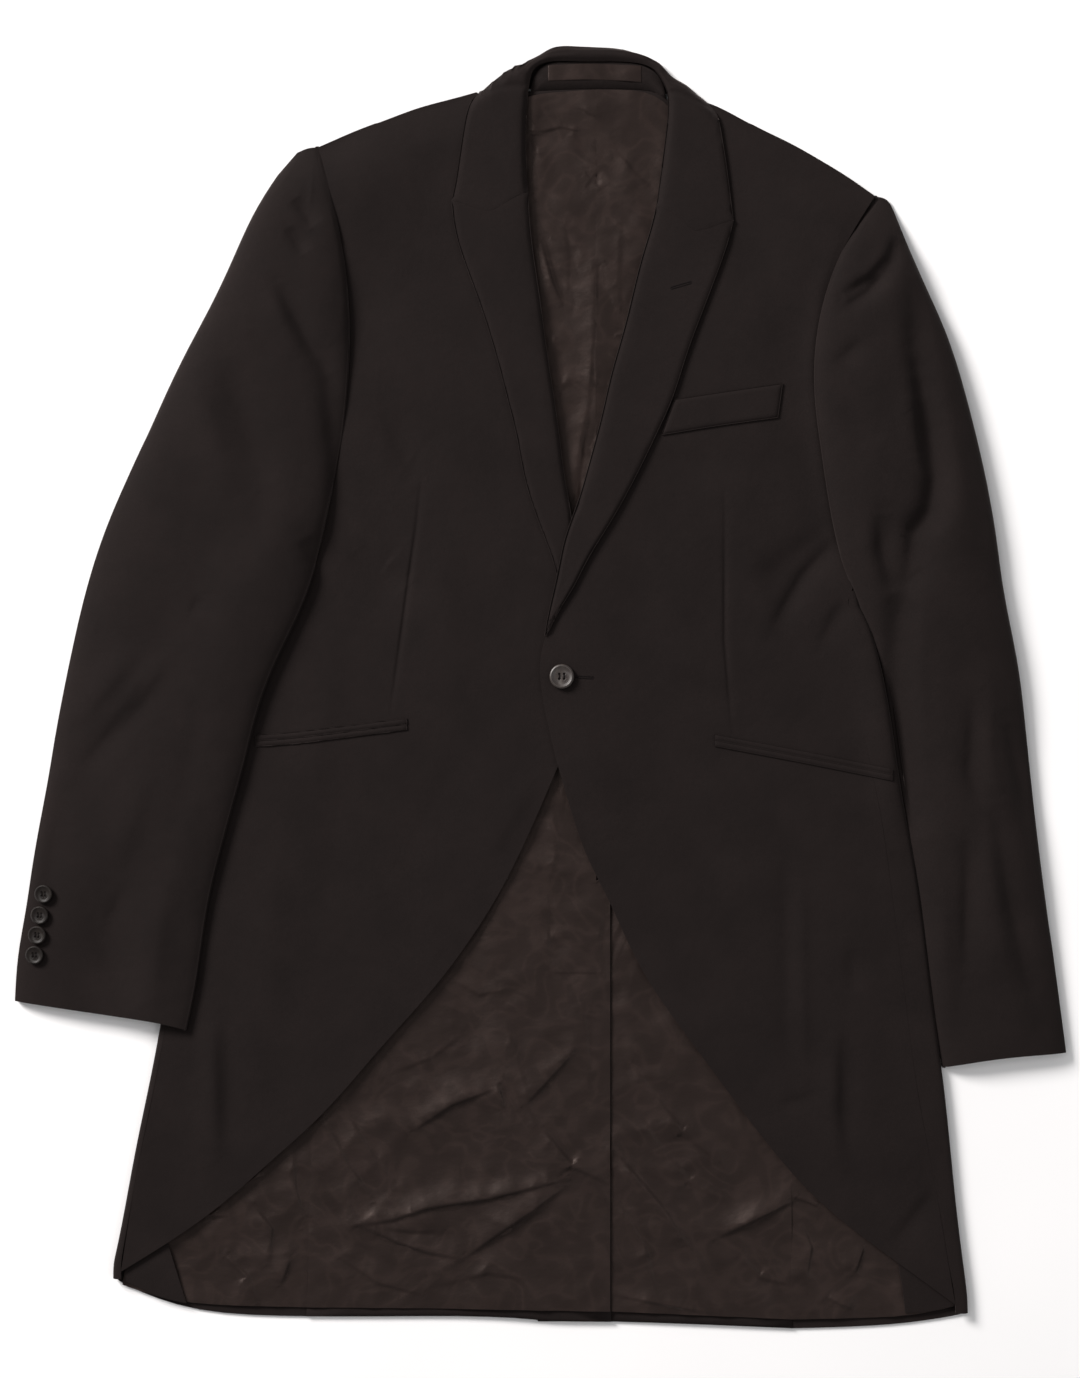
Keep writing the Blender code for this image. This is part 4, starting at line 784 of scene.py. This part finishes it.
LOOKS = {}
for node, (_, _, _, grain) in CLOTH.items():
    key = ("satin" if node in LINING else "wool", grain)
    if key not in LOOKS:
        maker = satin if key[0] == "satin" else worsted
        LOOKS[key] = maker(key[0] + "_grain_" + str(grain).replace("-", "minus_"), grain)

HORN = {"front_button": horn("front_button_horn", 1.0), "cuff_button": horn("cuff_button_horn", 0.3)}
THREAD = thread_look("black_thread", (0.004, 0.003, 0.003), (0.011, 0.008, 0.008))
BUTTONS = {
    "front_button": "front_button",
    "cuff_button_1": "cuff_button",
    "cuff_button_2": "cuff_button",
    "cuff_button_3": "cuff_button",
    "cuff_button_4": "cuff_button",
}


# Sewn details

# Buttons: radius in millimetres, and metres that the thread lies over the middle of the button
BUTTON_RADIUS = {"front_button": 10.0, "cuff_button": 7.5}
THREAD_LIFT = {"front_button": 0.0006, "cuff_button": 0.0004}

# Thread of a button: its reach as a share of the radius, how far aside and how long each bar is as
# shares of that reach, half the space between the two threads of a bar in millimetres, and how
# thick a thread is in metres
THREAD_REACH = 0.25
BAR_ASIDE = 0.72
BAR_LENGTH = 2.1
TWIN_SPACE = 0.28
THREAD_THICK = 0.0007

# Stitches of a buttonhole: millimetres from one to the next, from the slit to their middle, and
# that they lie over the cloth, and how many go round each end
STITCH_PITCH = 0.5
STITCH_ASIDE = 0.75
STITCH_LIFT = 0.05
EYE_STITCHES = 7

# Length of the stitches along the slit and round its ends, how far out the latter lie, and how
# thick all of them are, in metres
LIP_LENGTH = 0.0013
EYE_LENGTH = 0.0012
EYE_ASIDE = 0.0009
STITCH_THICK = 0.0005


def stitch(bm, centre, along, up, length, thick):
    """One stitch: a small rounded bar that lies along a direction."""
    made = bmesh.ops.create_icosphere(bm, subdivisions=1, radius=0.5)
    along = along.normalized()
    side = up.cross(along).normalized()
    turn = Matrix((along, side, along.cross(side))).transposed().to_4x4()
    size = Matrix.Diagonal((length, thick, thick, 1))
    bmesh.ops.transform(bm, matrix=Matrix.Translation(centre) @ turn @ size, verts=made["verts"])


def top_at(tree, x, y):
    """The highest place of a piece there, and the way that it faces."""
    return tree.ray_cast(Vector((x * MM, y * MM, 0.1)), Vector((0, 0, -1)))[:2]


def tree_of(piece):
    mesh = piece.data
    return BVHTree.FromPolygons([vert.co for vert in mesh.vertices],
                                [face.vertices[:] for face in mesh.polygons])


def turn_button(name, kind):
    """The button with its turned rim rounded."""
    bm = rounded_skin(name, 2)
    add_piece(name + "_turned", bm, HORN[kind], (name,))


def sew_button(name, kind):
    """Thread through the four holes of a button."""
    low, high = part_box(name)
    centre = (Vector(low) + Vector(high)) / 2
    normal = Vector((0, 0, 0))
    for face in bpy.data.objects[name].data.polygons:
        if face.normal.z > 0.8:
            normal += face.normal * face.area
    normal.normalize()
    bm = bmesh.new()
    reach = BUTTON_RADIUS[kind] * THREAD_REACH * MM
    across = Vector((1, 0, 0)) - normal * normal.x
    across.normalize()
    other = normal.cross(across)
    lift = centre + normal * THREAD_LIFT[kind]
    for sign in (-1, 1):
        for shift in (-TWIN_SPACE, TWIN_SPACE):
            place = lift + across * sign * reach * BAR_ASIDE + across * shift * MM
            stitch(bm, place, other, normal, reach * BAR_LENGTH, THREAD_THICK)
    return add_piece(name + "_thread", bm, THREAD)


def buttonhole(name, tree, start, end):
    """A worked buttonhole: close stitches over both lips of a slit, with an eye at one end."""
    bm = bmesh.new()
    start, end = Vector(start), Vector(end)
    run = end - start
    side = Vector((-run.y, run.x)).normalized()
    lift = Vector((0, 0, STITCH_LIFT * MM))
    count = int(run.length / STITCH_PITCH)
    for index in range(count + 1):
        place = start.lerp(end, index / count)
        for sign in (-1, 1):
            spot = place + side * sign * STITCH_ASIDE
            hit, normal = top_at(tree, spot.x, spot.y)
            stitch(bm, hit + lift, Vector((side.x, side.y, 0)), normal, LIP_LENGTH, STITCH_THICK)
    for centre in (start, end):
        hit, normal = top_at(tree, centre.x, centre.y)
        for index in range(EYE_STITCHES):
            angle = math.tau * index / EYE_STITCHES
            spoke = Vector((math.cos(angle), math.sin(angle), 0))
            stitch(bm, hit + spoke * EYE_ASIDE + lift, spoke, normal, EYE_LENGTH, STITCH_THICK)
    return add_piece(name, bm, THREAD)


pieces = {name: dress(name) for name in CLOTH}
for name, kind in BUTTONS.items():
    turn_button(name, kind)
    sew_button(name, kind)
buttonhole("lapel_buttonhole", tree_of(pieces["lapel_left"]), (99, 301), (113, 305))
buttonhole("front_buttonhole", tree_of(pieces["front_left"]), (27.5, 7.6), (39, 7))


# Floor, light and camera

# How far under the coat the floor lies, in metres
FLOOR_DROP = 0.0004


def make_floor():
    """Pale paper under the coat."""
    bm = bmesh.new()
    bmesh.ops.create_grid(bm, x_segments=2, y_segments=2, size=4.0)
    bmesh.ops.translate(bm, verts=bm.verts, vec=(0, 0, -FLOOR_DROP))
    mesh = bpy.data.meshes.new("floor")
    bm.to_mesh(mesh)
    bm.free()
    nodes = Nodes("floor_paper")
    nodes.link(nodes.ramp(nodes.noise(3, 2), [(0.3, (0.89, 0.89, 0.9)), (0.7, (0.93, 0.93, 0.94))]),
               nodes.shader.inputs["Base Color"])
    nodes.shader.inputs["Roughness"].default_value = 0.95
    nodes.shader.inputs["Specular IOR Level"].default_value = 0.1
    mesh.materials.append(nodes.material)
    floor = bpy.data.objects.new("floor", mesh)
    bpy.context.scene.collection.objects.link(floor)


def make_light(name, place, size, power, colour):
    """A round lamp that points at the middle of the coat."""
    data = bpy.data.lights.new(name, "AREA")
    data.shape = "DISK"
    data.size = size
    data.energy = power
    data.color = colour
    light = bpy.data.objects.new(name, data)
    light.location = place
    light.rotation_euler = (-Vector(place)).to_track_quat("-Z", "Y").to_euler()
    bpy.context.scene.collection.objects.link(light)


make_floor()
make_light("key", (-3.4, 2.7, 2.6), 1.9, 385, (1.0, 0.965, 0.94))
make_light("top", (-1.2, 0.7, 2.7), 1.0, 8, (1.0, 0.97, 0.95))
make_light("fill", (1.9, -0.6, 2.2), 2.0, 10, (1.0, 0.98, 0.97))

world = bpy.data.worlds.new("studio")
world.use_nodes = True
world.node_tree.nodes["Background"].inputs["Color"].default_value = (1, 1, 1, 1)
world.node_tree.nodes["Background"].inputs["Strength"].default_value = 0.34
bpy.context.scene.world = world
bpy.context.scene.view_settings.view_transform = "Standard"

# Height of the camera, height at which the cloth is seen, and length that the picture takes in
# there, in metres, and the sensor's width in millimetres
CAMERA_HEIGHT = 2.6
CLOTH_HEIGHT = 0.008
SEEN_LENGTH = 1.0404
SENSOR_WIDTH = 36.0
camera_data = bpy.data.cameras.new("camera")
camera_data.sensor_width = SENSOR_WIDTH
camera_data.lens = SENSOR_WIDTH * (CAMERA_HEIGHT - CLOTH_HEIGHT) / SEEN_LENGTH
camera = bpy.data.objects.new("camera", camera_data)
camera.location = (-0.0004, -0.0015, CAMERA_HEIGHT)
bpy.context.scene.collection.objects.link(camera)
bpy.context.scene.camera = camera
